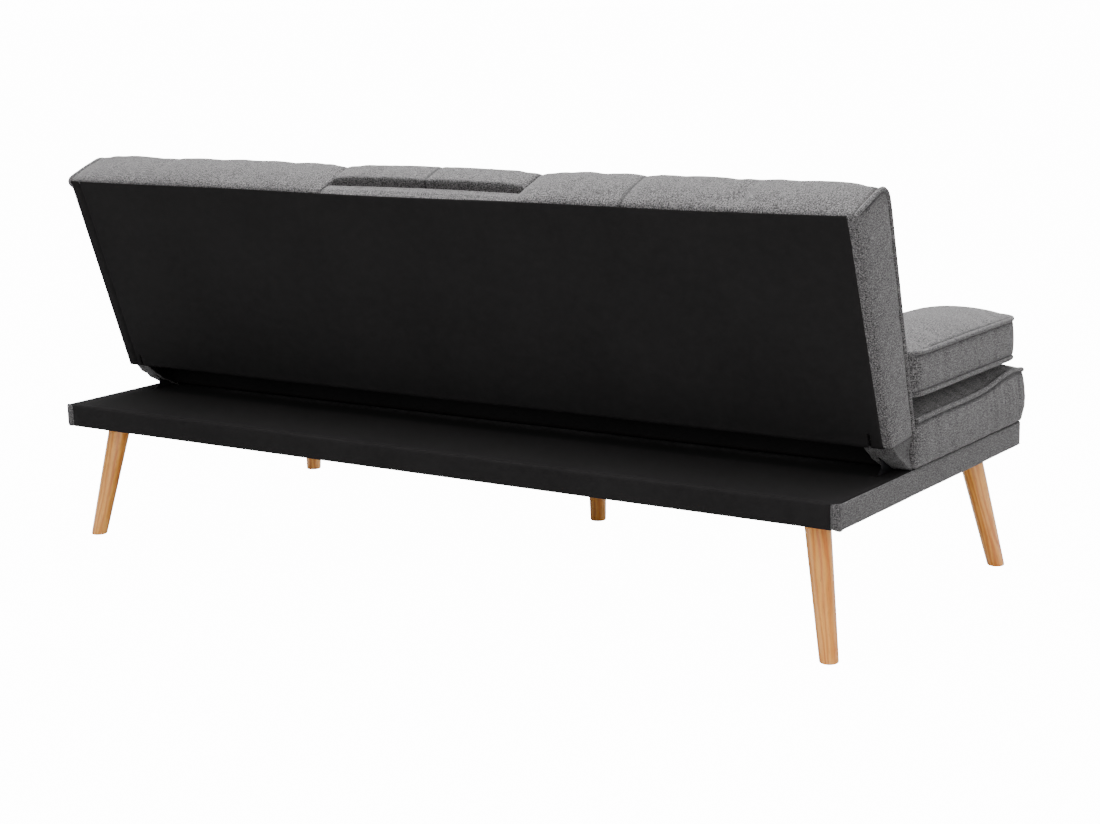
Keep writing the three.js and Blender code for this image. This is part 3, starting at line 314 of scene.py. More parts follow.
# Platform frame. Rails of planed pine along the front, middle and rear, screwed between two end rails with
# a glued triangular block in each corner, and sinuous steel springs from the front rail to the middle one.
timber_pale = (0.66, 0.47, 0.27)
timber_dark = (0.47, 0.30, 0.15)
platform_timber = [
    "base_front_rail", "base_middle_rail", "base_rear_rail", "base_cross_rail",
    "base_end_rail_left", "base_end_rail_right",
    "corner_block_front_left", "corner_block_front_right",
    "corner_block_rear_left", "corner_block_rear_right",
]


def timber(name, scale):
    finish = Finish(name)
    place = finish.place()
    fibre = finish.noise(finish.stretched(place, scale), 160.0, 4.0, 0.6)
    band = finish.noise(finish.stretched(place, scale), 26.0, 2.0)
    figure = fibre * 0.5 + band * 0.6 - 0.05
    return finish.done({
        "Base Color": finish.ramp(figure, [(0.3, timber_dark), (0.7, timber_pale)]),
        "Roughness": band * 0.2 + 0.62,
        "Normal": finish.bump(fibre, 0.0003, 0.6),
    })


def steel(name, tone, roughness):
    finish = Finish(name)
    place = finish.place()
    cloud = finish.noise(place, 45.0, 3.0)
    scratch = finish.noise(finish.stretched(place, (1.0, 0.06, 1.0)), 900.0, 2.0)
    return finish.done({
        "Base Color": finish.ramp(cloud, [
            (0.25, tuple(0.82 * channel for channel in tone)),
            (0.75, tone),
        ]),
        "Metallic": 1.0,
        "Roughness": cloud * 0.16 + scratch * 0.12 + roughness,
        "Normal": finish.bump(scratch, 0.00003),
    })


def refinished(nodes, finish):
    for node in nodes:
        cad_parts[node].material_slots[0].material = finish


refinished([n for n in platform_timber if "end" not in n], timber("pine_along", (0.05, 1.0, 1.0)))
refinished([n for n in platform_timber if "end" in n], timber("pine_across", (1.0, 0.05, 1.0)))
refinished([f"seat_spring_{i}" for i in range(1, 7)], steel("spring_wire", (0.30, 0.31, 0.33), 0.34))


# Apron. One strip of grey melange linen round both ends and the front of the platform, folded over its top
# edge, stapled underneath and turned a little way round the rear corners.
apron_half = 0.900
apron_front = -0.367
apron_rear = 0.388
apron_corner = 0.018
apron_rear_corner = 0.002
apron_return = 0.020
apron_low = 0.2362
apron_high = 0.281
linen_pale = (0.246, 0.238, 0.241)
linen_dark = (0.020, 0.019, 0.0195)
thread_pitch = 0.0012


def cloth_axes(finish):
    # the cloth's own map, and how far along each of its two threads a place on it is
    flat = finish.node("UVMap", {"uv_map": "cloth"}, {})
    return flat, *[finish.node("SeparateXYZ", {}, {"Vector": flat}, output=axis) for axis in "XY"]


def linen(name, shade=1.0):
    finish = Finish(name)
    flat, across, along = cloth_axes(finish)
    warp = (across * (math.pi / thread_pitch)).sine()
    weft = (along * (math.pi / thread_pitch)).sine()
    crossing = warp * weft
    on_top = crossing > 0.0
    warp_shade = finish.noise(finish.stretched(flat, (1.0, 0.12, 1.0)), 560.0, 2.0, 0.7)
    weft_shade = finish.noise(finish.stretched(flat, (0.12, 1.0, 1.0), (3.1, 1.7, 0.0)), 560.0, 2.0, 0.7)
    fleck = finish.noise(flat, 390.0, 2.0, 0.7)
    cloud = finish.noise(flat, 11.0, 3.0)
    # painted shade: the seam attribute, written by drawn_in, marks where the cloth is darkened beside seams
    # and piping
    seam = finish.node("Attribute", {"attribute_name": "seam"}, {}, output="Fac")
    yarn = warp_shade * on_top + weft_shade * (1 - on_top)
    figure = yarn * 0.76 + fleck * 0.96 + cloud * 0.06 - 0.390
    colour = finish.ramp(figure, [
        (0.37, tuple(shade * c for c in linen_dark)),
        (0.52, tuple(shade * (0.62 * d + 0.38 * p) for d, p in zip(linen_dark, linen_pale))),
        (0.67, tuple(shade * p for p in linen_pale)),
    ])
    # painted shade: where the seam attribute is high, the colour is mixed towards a dark tone
    sunk = finish.between(seam * 0.75, colour, (*[shade * c * 0.35 for c in linen_dark], 1.0))
    height = abs(crossing) + yarn * 0.6
    return finish.done({
        "Base Color": sunk,
        "Roughness": yarn * 0.12 + 0.86,
        "Specular IOR Level": 0.16,
        "Sheen Weight": 0.20,
        "Sheen Roughness": 0.42,
        "Normal": finish.bump(height, 0.0004, 0.55),
    })


def numbers_of(items, key, width=1, kind=np.float32):
    flat = np.empty(len(items) * width, kind)
    items.foreach_get(key, flat)
    return flat.reshape(-1, width) if width > 1 else flat


def cloth_strip(name, grid, finish, thickness, holes=lambda point: False):
    # a sheet from rows of points, its outer face to the left of a row as the rows advance
    grid = np.array(grid, float)
    rows, columns = grid.shape[:2]
    points = grid.reshape(-1, 3)
    faces = []
    for r in range(rows - 1):
        for c in range(columns - 1):
            face = (r * columns + c, r * columns + c + 1, (r + 1) * columns + c + 1, (r + 1) * columns + c)
            if not holes(points[list(face)].mean(0)):
                faces.append(face)
    sheet = made_piece(name, points, faces, finish)
    across = np.linalg.norm(np.diff(grid, axis=1), axis=2).mean(0).cumsum()
    along = np.linalg.norm(np.diff(grid, axis=0), axis=2).mean(1).cumsum()
    across, along = np.append(0.0, across), np.append(0.0, along)
    flat = sheet.data.uv_layers.new(name="cloth")
    corners = numbers_of(sheet.data.loops, "vertex_index", kind=np.int32)
    flat.data.foreach_set("uv", np.stack([across[corners % columns], along[corners // columns]], 1).ravel())
    wall = sheet.modifiers.new("cloth_thickness", "SOLIDIFY")
    wall.thickness = thickness
    wall.offset = -1
    return sheet


def waviness(points, size, waves):
    # smooth repeatable unevenness of hand-pulled cloth, as one number for each point
    points = np.array(points, float)
    total = np.zeros(points.shape[:-1])
    for share, (kx, ky, kz, phase) in waves:
        total += share * np.sin(points @ np.array((kx, ky, kz)) + phase)
    return size * total


apron_waves = [(0.5, (21.0, 17.0, 0.0, 0.4)), (0.3, (47.0, 39.0, 30.0, 1.9)), (0.2, (93.0, 81.0, 0.0, 0.9))]


def apron_path():
    path = [((-apron_half + apron_return, apron_rear), (0.0, 1.0))]
    turns = [
        ((-apron_half, apron_rear), (0.0, 1.0), (-1.0, 0.0), apron_rear_corner),
        ((-apron_half, apron_front), (-1.0, 0.0), (0.0, -1.0), apron_corner),
        ((apron_half, apron_front), (0.0, -1.0), (1.0, 0.0), apron_corner),
        ((apron_half, apron_rear), (1.0, 0.0), (0.0, 1.0), apron_rear_corner),
    ]
    for corner, before, after, radius in turns:
        corner, before, after = (np.array(value) for value in (corner, before, after))
        centre = corner - radius * (before + after)
        arc = []
        for step in range(7):
            angle = math.pi / 2 * step / 6
            facing = before * math.cos(angle) + after * math.sin(angle)
            arc.append((centre + radius * facing, facing))
        start, facing = np.array(path[-1][0]), before
        steps = max(2, int(np.linalg.norm(arc[0][0] - start) / 0.02))
        for step in range(1, steps):
            path.append((start + (arc[0][0] - start) * (step / steps), facing))
        path += arc
    path.append(((apron_half - apron_return, apron_rear), (0.0, 1.0)))
    return [(np.array(place), np.array(facing)) for place, facing in path]


apron_profile = [
    # how far inside the apron's face, and the height
    (0.0180, apron_high - 0.0024), (0.0060, apron_high - 0.0008), (0.0024, apron_high),
    (0.0008, apron_high - 0.0006), (0.0, apron_high - 0.0024),
    (0.0, 0.272), (0.0, 0.262), (0.0, 0.252), (0.0, 0.244),
    (0.0004, apron_low + 0.0026), (0.0014, apron_low + 0.0008), (0.0032, apron_low), (0.0120, apron_low),
]
apron_grid = []
for inside, height in apron_profile:
    row = []
    for place, facing in apron_path():
        soft = waviness((place[0], place[1], height), 0.0007, apron_waves)
        x, y = place - facing * (inside + 0.0006 + soft * (height < 0.276))
        row.append((x, y, height))
    apron_grid.append(row)
linen_apron = linen("linen_apron", 0.86)
apron = cloth_strip("apron_strip", apron_grid[::-1], linen_apron, 0.0012)
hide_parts("base_apron")
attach(apron, "base")


# Deck cloth and dust cloth. Black spunbond cloth: one sheet over the rear deck and down its rear edge, with
# a slit at each end for the hinge, and one stapled up under the whole platform.
deck_half = 0.8950
deck_front = 0.0985
deck_top = 0.2812
deck_rear = 0.3885
deck_low = 0.2362
deck_drop_share = 0.8804 / deck_half
slit_inner, slit_outer = 0.8562, 0.8616
slit_rear = 0.1758
black_pale = (0.0178, 0.0168, 0.0171)
black_dark = (0.0084, 0.0079, 0.0081)
dimple_turns = 2400.0      # radians of the pressed dimples in a metre
dust_half = 0.896
dust_low = 0.2364
dust_hem = 0.08


def black_cloth(name, shade=1.0):
    finish = Finish(name)
    flat, across, along = cloth_axes(finish)
    fibre = finish.noise(flat, 900.0, 3.0, 0.7)
    blotch = finish.noise(flat, 46.0, 4.0, 0.65)
    cloud = finish.noise(flat, 5.0, 2.0)
    dimple = (across * dimple_turns).sine() * (along * dimple_turns).sine()
    figure = fibre * 0.45 + blotch * 0.5 + cloud * 0.35 - 0.15
    return finish.done({
        "Base Color": finish.ramp(figure, [
            (0.25, tuple(shade * c for c in black_dark)),
            (0.8, tuple(shade * c for c in black_pale)),
        ]),
        "Roughness": blotch * 0.14 + 0.78,
        "Specular IOR Level": 0.10,
        "Normal": finish.bump(fibre * 0.6 + dimple * 0.18 + blotch * 0.8, 0.0004, 0.6),
    })


def in_slit(point):
    return slit_inner < abs(point[0]) < slit_outer and point[1] < slit_rear and point[2] > 0.27


deck_black = black_cloth("black_deck_cloth")
deck_waves = [(0.6, (4.1, 9.0, 0.0, 0.3)), (0.3, (11.3, 21.0, 0.0, 2.2)), (0.2, (37.0, 5.0, 0.0, 1.1))]
across_places = sorted([
    *np.linspace(-deck_half, deck_half, 150),
    *[sign * edge for sign in (-1, 1) for edge in (slit_inner, slit_outer)],
])
deck_grid = []
for y in [*np.linspace(deck_front, slit_rear, 10), *np.linspace(slit_rear + 0.012, deck_rear - 0.020, 16)]:
    row = []
    for x in across_places:
        from_ends = min(1.0, max(0.0, (deck_half - 0.020 - abs(x)) / 0.05))
        between_rails = max(0.0, math.sin(math.pi * (y - 0.10) / 0.26))
        sag = 0.0016 * between_rails * from_ends
        z = deck_top - sag + waviness((x, y, 0.0), 0.0006, deck_waves) * from_ends * between_rails
        row.append((x, y, z))
    deck_grid.append(row)
ridge = [(0.0135, 0.0), (0.0070, 0.0004), (0.0036, 0.0003), (0.0012, -0.0012), (0.0, -0.0036), (0.0, -0.0080)]
for inside, lift in ridge:
    narrowed = 1 - (1 - deck_drop_share) * max(0.0, 1 - inside / 0.007)
    deck_grid.append([
        (x * narrowed, deck_rear - inside, deck_top + lift + waviness((x, 0.0, 0.0), 0.0003, deck_waves))
        for x in across_places
    ])
drop_places = [x * deck_drop_share for x in across_places]
for z in np.linspace(deck_top - 0.014, deck_low + 0.003, 6):
    row = []
    for x in drop_places:
        y = deck_rear + waviness((x, 0.0, z), 0.0006, deck_waves) - 0.0004
        row.append((x, y, z + waviness((x, 0.2, 0.0), 0.0006, deck_waves)))
    deck_grid.append(row)
deck_grid.append([(x, deck_rear - 0.0015, deck_low) for x in drop_places])
deck_grid.append([(x, deck_rear - 0.0120, deck_low - 0.0003) for x in drop_places])
deck_sheet = cloth_strip("deck_sheet", deck_grid, deck_black, 0.0007, in_slit)
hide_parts("deck_cloth")
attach(deck_sheet, "base")

dust_grid = []
for y in np.linspace(apron_rear - 0.004, apron_front + 0.004, 34):
    row = []
    for x in np.linspace(-dust_half, dust_half, 90):
        rim = min(1.0, (dust_half - abs(x)) / dust_hem)
        rim *= min(1.0, (apron_rear - y) / dust_hem, (y - apron_front) / dust_hem)
        row.append((x, y, dust_low + 0.0012 * max(0.0, rim) * waviness((x, y, 0.0), 1.0, deck_waves)))
    dust_grid.append(row)
dust_sheet = cloth_strip("dust_sheet", dust_grid, black_cloth("black_dust_cloth", 1.2), 0.0006)
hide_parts("base_dust_cloth")
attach(dust_sheet, "base")


# Seat cushion. A foam block in a boxed linen cover: a quilted top in two rows of eight panels, sewn down to
# the foam along its seams, with a piped edge, and a border whose cloth puckers at the ends. The rear of the
# cover, which the back hides, is of the black cloth.
seat_half = 0.8995
seat_low = 0.2815
seat_welt = 0.3783
seat_front = -0.3845
seat_rear = 0.1083
seat_tuck = -0.3685
seat_bulge = 0.0035
seat_crown = 0.0255
panel = 0.225
seat_row_seam = (seat_front + seat_rear) / 2
seat_columns = [-seat_half, *[panel * k for k in range(-3, 4)], seat_half]
seat_seam_share = 0.58
seat_swell = 0.72
seat_plain_swell = 0.86
seat_plain_from, seat_plain_fade = 0.77, 0.06
seat_row_end = 0.80
seat_depth_points = 45
seat_height_points = 9
seat_corner = 0.034
seat_end_reach = 0.20
piping_shadow = 0.0045     # how far from a piped edge the painted shadow line beside its piping runs
seat_end_line = [
    # how far the piped edge of an end lies from the level welt, from the front to the rear
    (-0.3845, -0.0030), (-0.365, 0.0015), (-0.345, 0.0050), (-0.320, 0.0072), (-0.295, 0.0070),
    (-0.270, 0.0050), (-0.245, 0.0015), (-0.220, -0.0030), (-0.190, -0.0068), (-0.150, -0.0092),
    (-0.100, -0.0104), (0.0, -0.0100), (0.060, -0.0108), (0.1083, -0.0118),
]
stuffing_frames = 16
linen_cushion = linen("linen_cushion")


def fullness(at, seams, shares, swell):
    # share of its crown that a padded face keeps at a place: low at a seam, full between two
    at = np.clip(at, seams[0], seams[-1])
    upper = np.clip(np.searchsorted(seams, at), 1, len(seams) - 1)
    seams, shares = np.array(seams), np.array(shares)
    part = (at - seams[upper - 1]) / (seams[upper] - seams[upper - 1])
    seam = shares[upper - 1] + (shares[upper] - shares[upper - 1]) * part
    return seam + (1 - seam) * swell * (1 - np.abs(2 * part - 1) ** 3)


def spread(*stretches):
    # places from end to end of each stretch in turn, given as start, end and number of steps
    places = [np.linspace(start, end, steps + 1)[bool(i):] for i, (start, end, steps) in enumerate(stretches)]
    return np.concatenate(places)


def filled_in(low, last, high, first):
    # the grid of points inside a closed outline of four sides, each running on from the one before
    low, last, high, first = (np.array(side, float) for side in (low, last, high, first))
    high, first = high[::-1], first[::-1]
    s = np.linspace(0.0, 1.0, len(low))[None, :, None]
    t = np.linspace(0.0, 1.0, len(last))[:, None, None]
    corners = (1 - t) * ((1 - s) * low[0] + s * low[-1]) + t * ((1 - s) * high[0] + s * high[-1])
    return (1 - t) * low[None] + t * high[None] + (1 - s) * first[:, None] + s * last[:, None] - corners


def block_piece(name, outlines, finish, crowned=None):
    # a closed form through outlines of four sides; crowned shapes the point grid that shuts each end
    rings = [np.concatenate([np.array(side, float)[:-1] for side in sides]) for sides in outlines]
    count = len(rings[0])
    points = [point for ring in rings for point in ring]
    faces = []
    for row in range(0, (len(rings) - 1) * count, count):
        for i in range(count):
            beside = (i + 1) % count
            faces.append((row + i, row + beside, row + count + beside, row + count + i))
    for end in (0, -1):
        grid = filled_in(*outlines[end])
        grid = crowned(grid, end) if crowned else grid
        rows, columns = grid.shape[:2]
        index = np.zeros((rows, columns), int)
        index[0] = np.arange(columns)
        index[:, -1] = columns - 1 + np.arange(rows)
        index[-1, ::-1] = columns + rows - 2 + np.arange(columns)
        index[::-1, 0] = (2 * columns + rows - 3 + np.arange(rows)) % count
        index += 0 if end == 0 else (len(rings) - 1) * count
        index[1:-1, 1:-1] = len(points) + np.arange((rows - 2) * (columns - 2)).reshape(rows - 2, columns - 2)
        points += list(grid[1:-1, 1:-1].reshape(-1, 3))
        for r in range(rows - 1):
            for c in range(columns - 1):
                face = (index[r, c], index[r, c + 1], index[r + 1, c + 1], index[r + 1, c])
                faces.append(tuple(int(i) for i in (face if end else face[::-1])))
    return made_piece(name, points, faces, finish)


def settled(piece):
    # the mesh as its modifiers leave it, kept as the piece's own
    bpy.context.view_layer.update()
    shown = piece.evaluated_get(bpy.context.evaluated_depsgraph_get())
    mesh = bpy.data.meshes.new_from_object(shown)
    piece.modifiers.clear()
    piece.data = mesh
    return piece


def places_of(piece):
    return numbers_of(piece.data.vertices, "co", 3, float)


def place_all(piece, places):
    piece.data.vertices.foreach_set("co", np.ascontiguousarray(places, np.float32).ravel())
    piece.data.update()


def normals_of(piece):
    return numbers_of(piece.data.vertex_normals, "vector", 3)


def finer(piece):
    smooth = piece.modifiers.new("finer_faces", "SUBSURF")
    smooth.levels = 1
    smooth.render_levels = 1
    return settled(piece)


def stuffed(piece, sewn, most, pressure=4.0, slack=0.015):
    # blows the cover up against its seams: sewn(places) says how firmly each point is held, from 0 to 1,
    # and most(places, normals) how far each may move
    start = places_of(piece)
    limit = most(start, normals_of(piece))
    hold = sewn(start)
    group = piece.vertex_groups.new(name="sewn")
    group.add(np.nonzero(hold > 0)[0].tolist(), 1.0, "REPLACE")
    cloth = piece.modifiers.new("stuffing", "CLOTH")
    cloth.settings.vertex_group_mass = "sewn"
    cloth.settings.quality = 4
    cloth.settings.mass = 0.25
    cloth.settings.use_pressure = True
    cloth.settings.uniform_pressure_force = pressure
    cloth.settings.shrink_min = -slack
    cloth.settings.shrink_max = -slack
    cloth.settings.tension_stiffness = 20
    cloth.settings.compression_stiffness = 20
    cloth.settings.bending_stiffness = 0.4
    cloth.settings.effector_weights.gravity = 0
    cloth.collision_settings.use_collision = False
    cloth.point_cache.frame_start = 1
    cloth.point_cache.frame_end = stuffing_frames
    for frame_number in range(1, stuffing_frames + 1):
        bpy.context.scene.frame_set(frame_number)
    settled(piece)
    bpy.context.scene.frame_set(1)
    piece.vertex_groups.clear()
    moved = places_of(piece) - start
    length = np.linalg.norm(moved, axis=1)
    kept = limit * np.tanh(length / np.maximum(limit, 1e-6))
    place_all(piece, start + moved * (kept / np.maximum(length, 1e-9))[:, None])
    return finer(piece)


def beside(distance, reach):
    # 1 at a seam or edge, fading to 0 within about twice its reach
    return np.exp(-((distance / reach) ** 2))


def pressed_in(piece, depth):
    place_all(piece, places_of(piece) - normals_of(piece) * depth[:, None])


def drawn_in(piece, distance, depth, reach, pucker=0.0, along=None, dark=None):
    # pulls the cover in along its seams, with small puckers beside them; distance is how far each point is
    # from the nearest seam, and dark how far from the nearest line of painted shade, which the seam attribute
    # carries
    sink = depth * beside(distance, reach)
    if pucker:
        near = np.exp(-((distance - reach) / (1.8 * reach)) ** 2)
        run = along * 210.0
        ripple = np.sin(run + 2.3 * np.sin(run * 0.23)) * (0.6 + 0.4 * np.sin(run * 0.11 + 1.0))
        sink = sink + pucker * near * ripple
    pressed_in(piece, sink)
    dark = distance if dark is None else dark
    # painted shade: the seam attribute is 1 on each dark line and fades within a few millimetres, and the
    # linen darkens with it
    seam = piece.data.attributes.get("seam") or piece.data.attributes.new("seam", "FLOAT", "POINT")
    seam.data.foreach_set("value", beside(dark, 0.0030).astype(np.float32))
    return piece


def stood_up(points, lean):
    # places or directions on a piece that leans back, as they are when it stands upright
    cosine, sine = math.cos(lean), math.sin(lean)
    x, y, z = points.T
    return np.stack([x, y * cosine - z * sine, y * sine + z * cosine], 1)


def cloth_map(piece, lean=0.0):
    # lays the weave on each face along the two axes that it faces least, in metres, in the leaning frame
    mesh = piece.data
    turned = stood_up(places_of(piece), lean)
    facing = np.abs(stood_up(numbers_of(mesh.polygons, "normal", 3), lean)).argmax(1)
    corner_facing = np.repeat(facing, numbers_of(mesh.polygons, "loop_total", kind=np.int32))
    corners = numbers_of(mesh.loops, "vertex_index", kind=np.int32)
    first = np.where(corner_facing == 0, 1, 0)
    second = np.where(corner_facing == 2, 1, 2)
    flat = mesh.uv_layers.get("cloth") or mesh.uv_layers.new(name="cloth")
    chosen = np.stack([turned[corners, first], turned[corners, second]], 1)
    flat.data.foreach_set("uv", chosen.astype(np.float32).ravel())
    return piece


def seat_welt_at(x, y):
    # the height of the top's edge line, which sinks and rises towards the two ends
    towards = np.clip((abs(x) - (seat_half - seat_end_reach)) / seat_end_reach, 0.0, 1.0)
    rise = np.interp(y, [place for place, _ in seat_end_line], [height for _, height in seat_end_line])
    return seat_welt + rise * towards * towards * (3 - 2 * towards)


def seat_plain_share(x):
    # from 0 to 1 where the row seam dies out under the arm cushion
    return np.clip((np.abs(x) - seat_plain_from) / seat_plain_fade, 0.0, 1.0)


def seat_outline(x):
    column = float(fullness(x, seat_columns, [0.0] + [seat_seam_share] * 7 + [0.0], seat_swell))
    low = [(x, y, seat_low) for y in np.linspace(seat_tuck, seat_rear, seat_depth_points)]
    rear_z = np.linspace(seat_low, seat_welt_at(x, seat_rear), seat_height_points)
    rear = [(x, seat_rear, z) for z in rear_z]
    top = []
    for y in np.linspace(seat_rear, seat_front, seat_depth_points):
        row = fullness(y, [seat_front, seat_row_seam, seat_rear], [0.0, seat_seam_share, 0.0], seat_swell)
        plain = fullness(y, [seat_front, seat_rear], [0.0, 0.0], seat_plain_swell)
        row += (plain - row) * seat_plain_share(x)
        top.append((x, y, seat_welt_at(x, y) + seat_crown * column * row))
    front = []
    high = seat_welt_at(x, seat_front)
    for share in np.linspace(0.0, 1.0, seat_height_points):
        face = seat_front + (seat_tuck - seat_front) * share ** 2.2
        swell = seat_bulge * math.sin(math.pi * share) * (0.8 + 0.4 * column)
        front.append((x, face - swell, high + (seat_low - high) * share))
    return low, rear, top, front


def eased_corners(places):
    # rounds the two front corners of the seat as seen from above
    outwards = np.clip(np.abs(places[:, 0]) - (seat_half - seat_corner), 0.0, None)
    forwards = np.clip(seat_front + seat_corner - places[:, 1], 0.0, None)
    shrink = np.maximum(outwards, forwards) / np.maximum(np.hypot(outwards, forwards), 1e-9)
    shrink = np.where((outwards > 0) & (forwards > 0), shrink, 1.0)
    places[:, 0] -= np.sign(places[:, 0]) * outwards * (1 - shrink)
    places[:, 1] += forwards * (1 - shrink)
    return places


def near_any(values, seams):
    return np.abs(values[:, None] - np.array(seams)[None, :]).min(1)


def seat_seams(places):
    top = places[:, 2] > seat_welt - 0.014
    column = near_any(places[:, 0], seat_columns[1:-1])
    row = np.abs(places[:, 1] - seat_row_seam) + 0.3 * seat_plain_share(places[:, 0])
    inside = (places[:, 1] < seat_rear - 0.004) & (places[:, 1] > seat_front + 0.001)
    return np.where(top & inside & (np.abs(places[:, 0]) < seat_half - 0.003), np.minimum(column, row), 1.0)


def seat_sewn(places):
    held = seat_seams(places) < 0.003
    held |= places[:, 2] < seat_low + 0.004
    held |= places[:, 1] > seat_rear - 0.002
    held |= (places[:, 1] < seat_front + 0.001) & (np.abs(places[:, 2] - seat_welt) < 0.010)
    at_end = np.abs(places[:, 0]) > seat_half - 0.001
    held |= at_end & (places[:, 2] > seat_welt_at(seat_half, places[:, 1]) - 0.0015)
    return held


def seat_most(places, normals):
    return np.where(normals[:, 2] > 0.5, 0.009 - 0.005 * seat_plain_share(places[:, 0]), 0.0035)


seat_outlines = [seat_outline(x) for x in np.linspace(-seat_half, seat_half, 161)]
seat = block_piece("seat_cushion", seat_outlines, linen_cushion)
stuffed(seat, seat_sewn, seat_most)
seat_places = places_of(seat)
welt_drop = seat_places[:, 2] - seat_welt_at(seat_places[:, 0], seat_places[:, 1])
beside_piping = np.minimum(
    np.hypot(seat_half - np.abs(seat_places[:, 0]), welt_drop),
    np.hypot(seat_places[:, 1] - seat_front, welt_drop),
)
# painted shade along the quilting seams, and a painted shadow line beside the piped edge, through the seam
# attribute
drawn_in(
    seat, seat_seams(seat_places), 0.0050, 0.0075, 0.0008, seat_places[:, 0] + seat_places[:, 1],
    dark=np.minimum(seat_seams(seat_places), np.abs(beside_piping - piping_shadow)),
)

# the cloth of the two end borders is pulled down to the frame and puckers, more towards the front
seat_places = places_of(seat)
border = (np.abs(seat_places[:, 0]) > seat_half - 0.006) & (seat_places[:, 2] < seat_welt - 0.004)
down = np.clip((seat_welt - seat_places[:, 2]) / (seat_welt - seat_low), 0.0, 1.0)
forwards = np.clip((seat_rear - 0.12 - seat_places[:, 1]) / 0.3, 0.0, 1.0)
run = seat_places[:, 1] * 330.0 + 1.6 * np.sin(seat_places[:, 1] * 41.0) + 5.0 * down
crease = np.sin(run) * np.sin(math.pi * np.clip(down * 1.05, 0.0, 1.0)) ** 0.7
fold = 0.0011 * crease * forwards + 0.0006 * np.sin(run * 0.31) + 0.0020 * np.sin(math.pi * down)
seat_places[:, 0] += np.sign(seat_places[:, 0]) * border * fold
seat_places -= normals_of(seat) * (0.0012 * beside(beside_piping, 0.006))[:, None]
place_all(seat, eased_corners(seat_places))
cloth_map(seat)
seat.data.materials.append(black_cloth("black_seat_rear"))
for face in seat.data.polygons:
    hidden = face.normal.y > 0.7 or face.normal.z < -0.7
    face.material_index = int(hidden and abs(face.center.x) < seat_half - 0.014)
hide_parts("seat_cover", "seat_foam")
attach(seat, "base")


# Piping. A cord sewn into a strip of the same linen, run along every boxed edge; the tree sweeps a round
# section along the edge's line. A second tree sets out the stitches of the seams along theirs.
piping_radius = 0.0043
piping_sides = 12
piping_step = 0.006
stitch_lift = 0.0004
above_seat = 0.6           # where the lines that look for the seat's seams start


def new_tree(name, inputs):
    tree = bpy.data.node_groups.new(name, "GeometryNodeTree")
    tree.interface.new_socket("Geometry", in_out="INPUT", socket_type="NodeSocketGeometry")
    for label, kind in inputs:
        tree.interface.new_socket(label, in_out="INPUT", socket_type="NodeSocket" + kind)
    tree.interface.new_socket("Geometry", in_out="OUTPUT", socket_type="NodeSocketGeometry")
    return tree


def tree_node(tree, kind, settings, values):
    made = tree.nodes.new(kind)
    for setting, value in settings.items():
        setattr(made, setting, value)
    for name, value in values.items():
        if isinstance(value, bpy.types.NodeSocket):
            tree.links.new(value, made.inputs[name])
        else:
            made.inputs[name].default_value = value
    return made


def finished_tree(tree, shape, finish):
    real = tree_node(tree, "GeometryNodeRealizeInstances", {}, {"Geometry": shape})
    smooth = tree_node(tree, "GeometryNodeSetShadeSmooth", {}, {"Geometry": real.outputs["Geometry"]})
    dressed = tree_node(tree, "GeometryNodeSetMaterial", {}, {
        "Geometry": smooth.outputs["Geometry"], "Material": finish,
    })
    out = tree.nodes.new("NodeGroupOutput")
    tree.links.new(dressed.outputs["Geometry"], out.inputs["Geometry"])
    return tree


def piping_tree():
    tree = new_tree("sewn_piping", [("Radius", "Float"), ("Step", "Float"), ("Finish", "Material")])
    given = tree.nodes.new("NodeGroupInput").outputs
    line = tree_node(tree, "GeometryNodeMeshToCurve", {}, {"Mesh": given["Geometry"]})
    even = tree_node(tree, "GeometryNodeResampleCurve", {"mode": "LENGTH"}, {
        "Curve": line.outputs["Curve"], "Length": given["Step"],
    })
    ring = tree_node(tree, "GeometryNodeCurvePrimitiveCircle", {}, {
        "Resolution": piping_sides, "Radius": given["Radius"],
    })
    swept = tree_node(tree, "GeometryNodeCurveToMesh", {}, {
        "Curve": even.outputs["Curve"], "Profile Curve": ring.outputs["Curve"], "Fill Caps": True,
    })
    return finished_tree(tree, swept.outputs["Mesh"], given["Finish"])


def stitch_tree():
    tree = new_tree("set_along_a_seam", [
        ("Pitch", "Float"), ("Length", "Float"), ("Radius", "Float"), ("Finish", "Material"),
    ])
    given = tree.nodes.new("NodeGroupInput").outputs
    line = tree_node(tree, "GeometryNodeMeshToCurve", {}, {"Mesh": given["Geometry"]})
    spots = tree_node(tree, "GeometryNodeCurveToPoints", {"mode": "LENGTH"}, {
        "Curve": line.outputs["Curve"], "Length": given["Pitch"],
    })
    bar = tree_node(tree, "GeometryNodeMeshUVSphere", {}, {"Segments": 6, "Rings": 4, "Radius": 1.0})
    slim = tree_node(tree, "ShaderNodeCombineXYZ", {}, {
        "X": given["Radius"], "Y": given["Radius"], "Z": given["Length"],
    })
    shaped = tree_node(tree, "GeometryNodeTransform", {}, {
        "Geometry": bar.outputs["Mesh"], "Scale": slim.outputs["Vector"],
    })
    placed = tree_node(tree, "GeometryNodeInstanceOnPoints", {}, {
        "Points": spots.outputs["Points"], "Instance": shaped.outputs["Geometry"],
        "Rotation": spots.outputs["Rotation"],
    })
    return finished_tree(tree, placed.outputs["Instances"], given["Finish"])


piping_nodes = piping_tree()
stitch_nodes = stitch_tree()


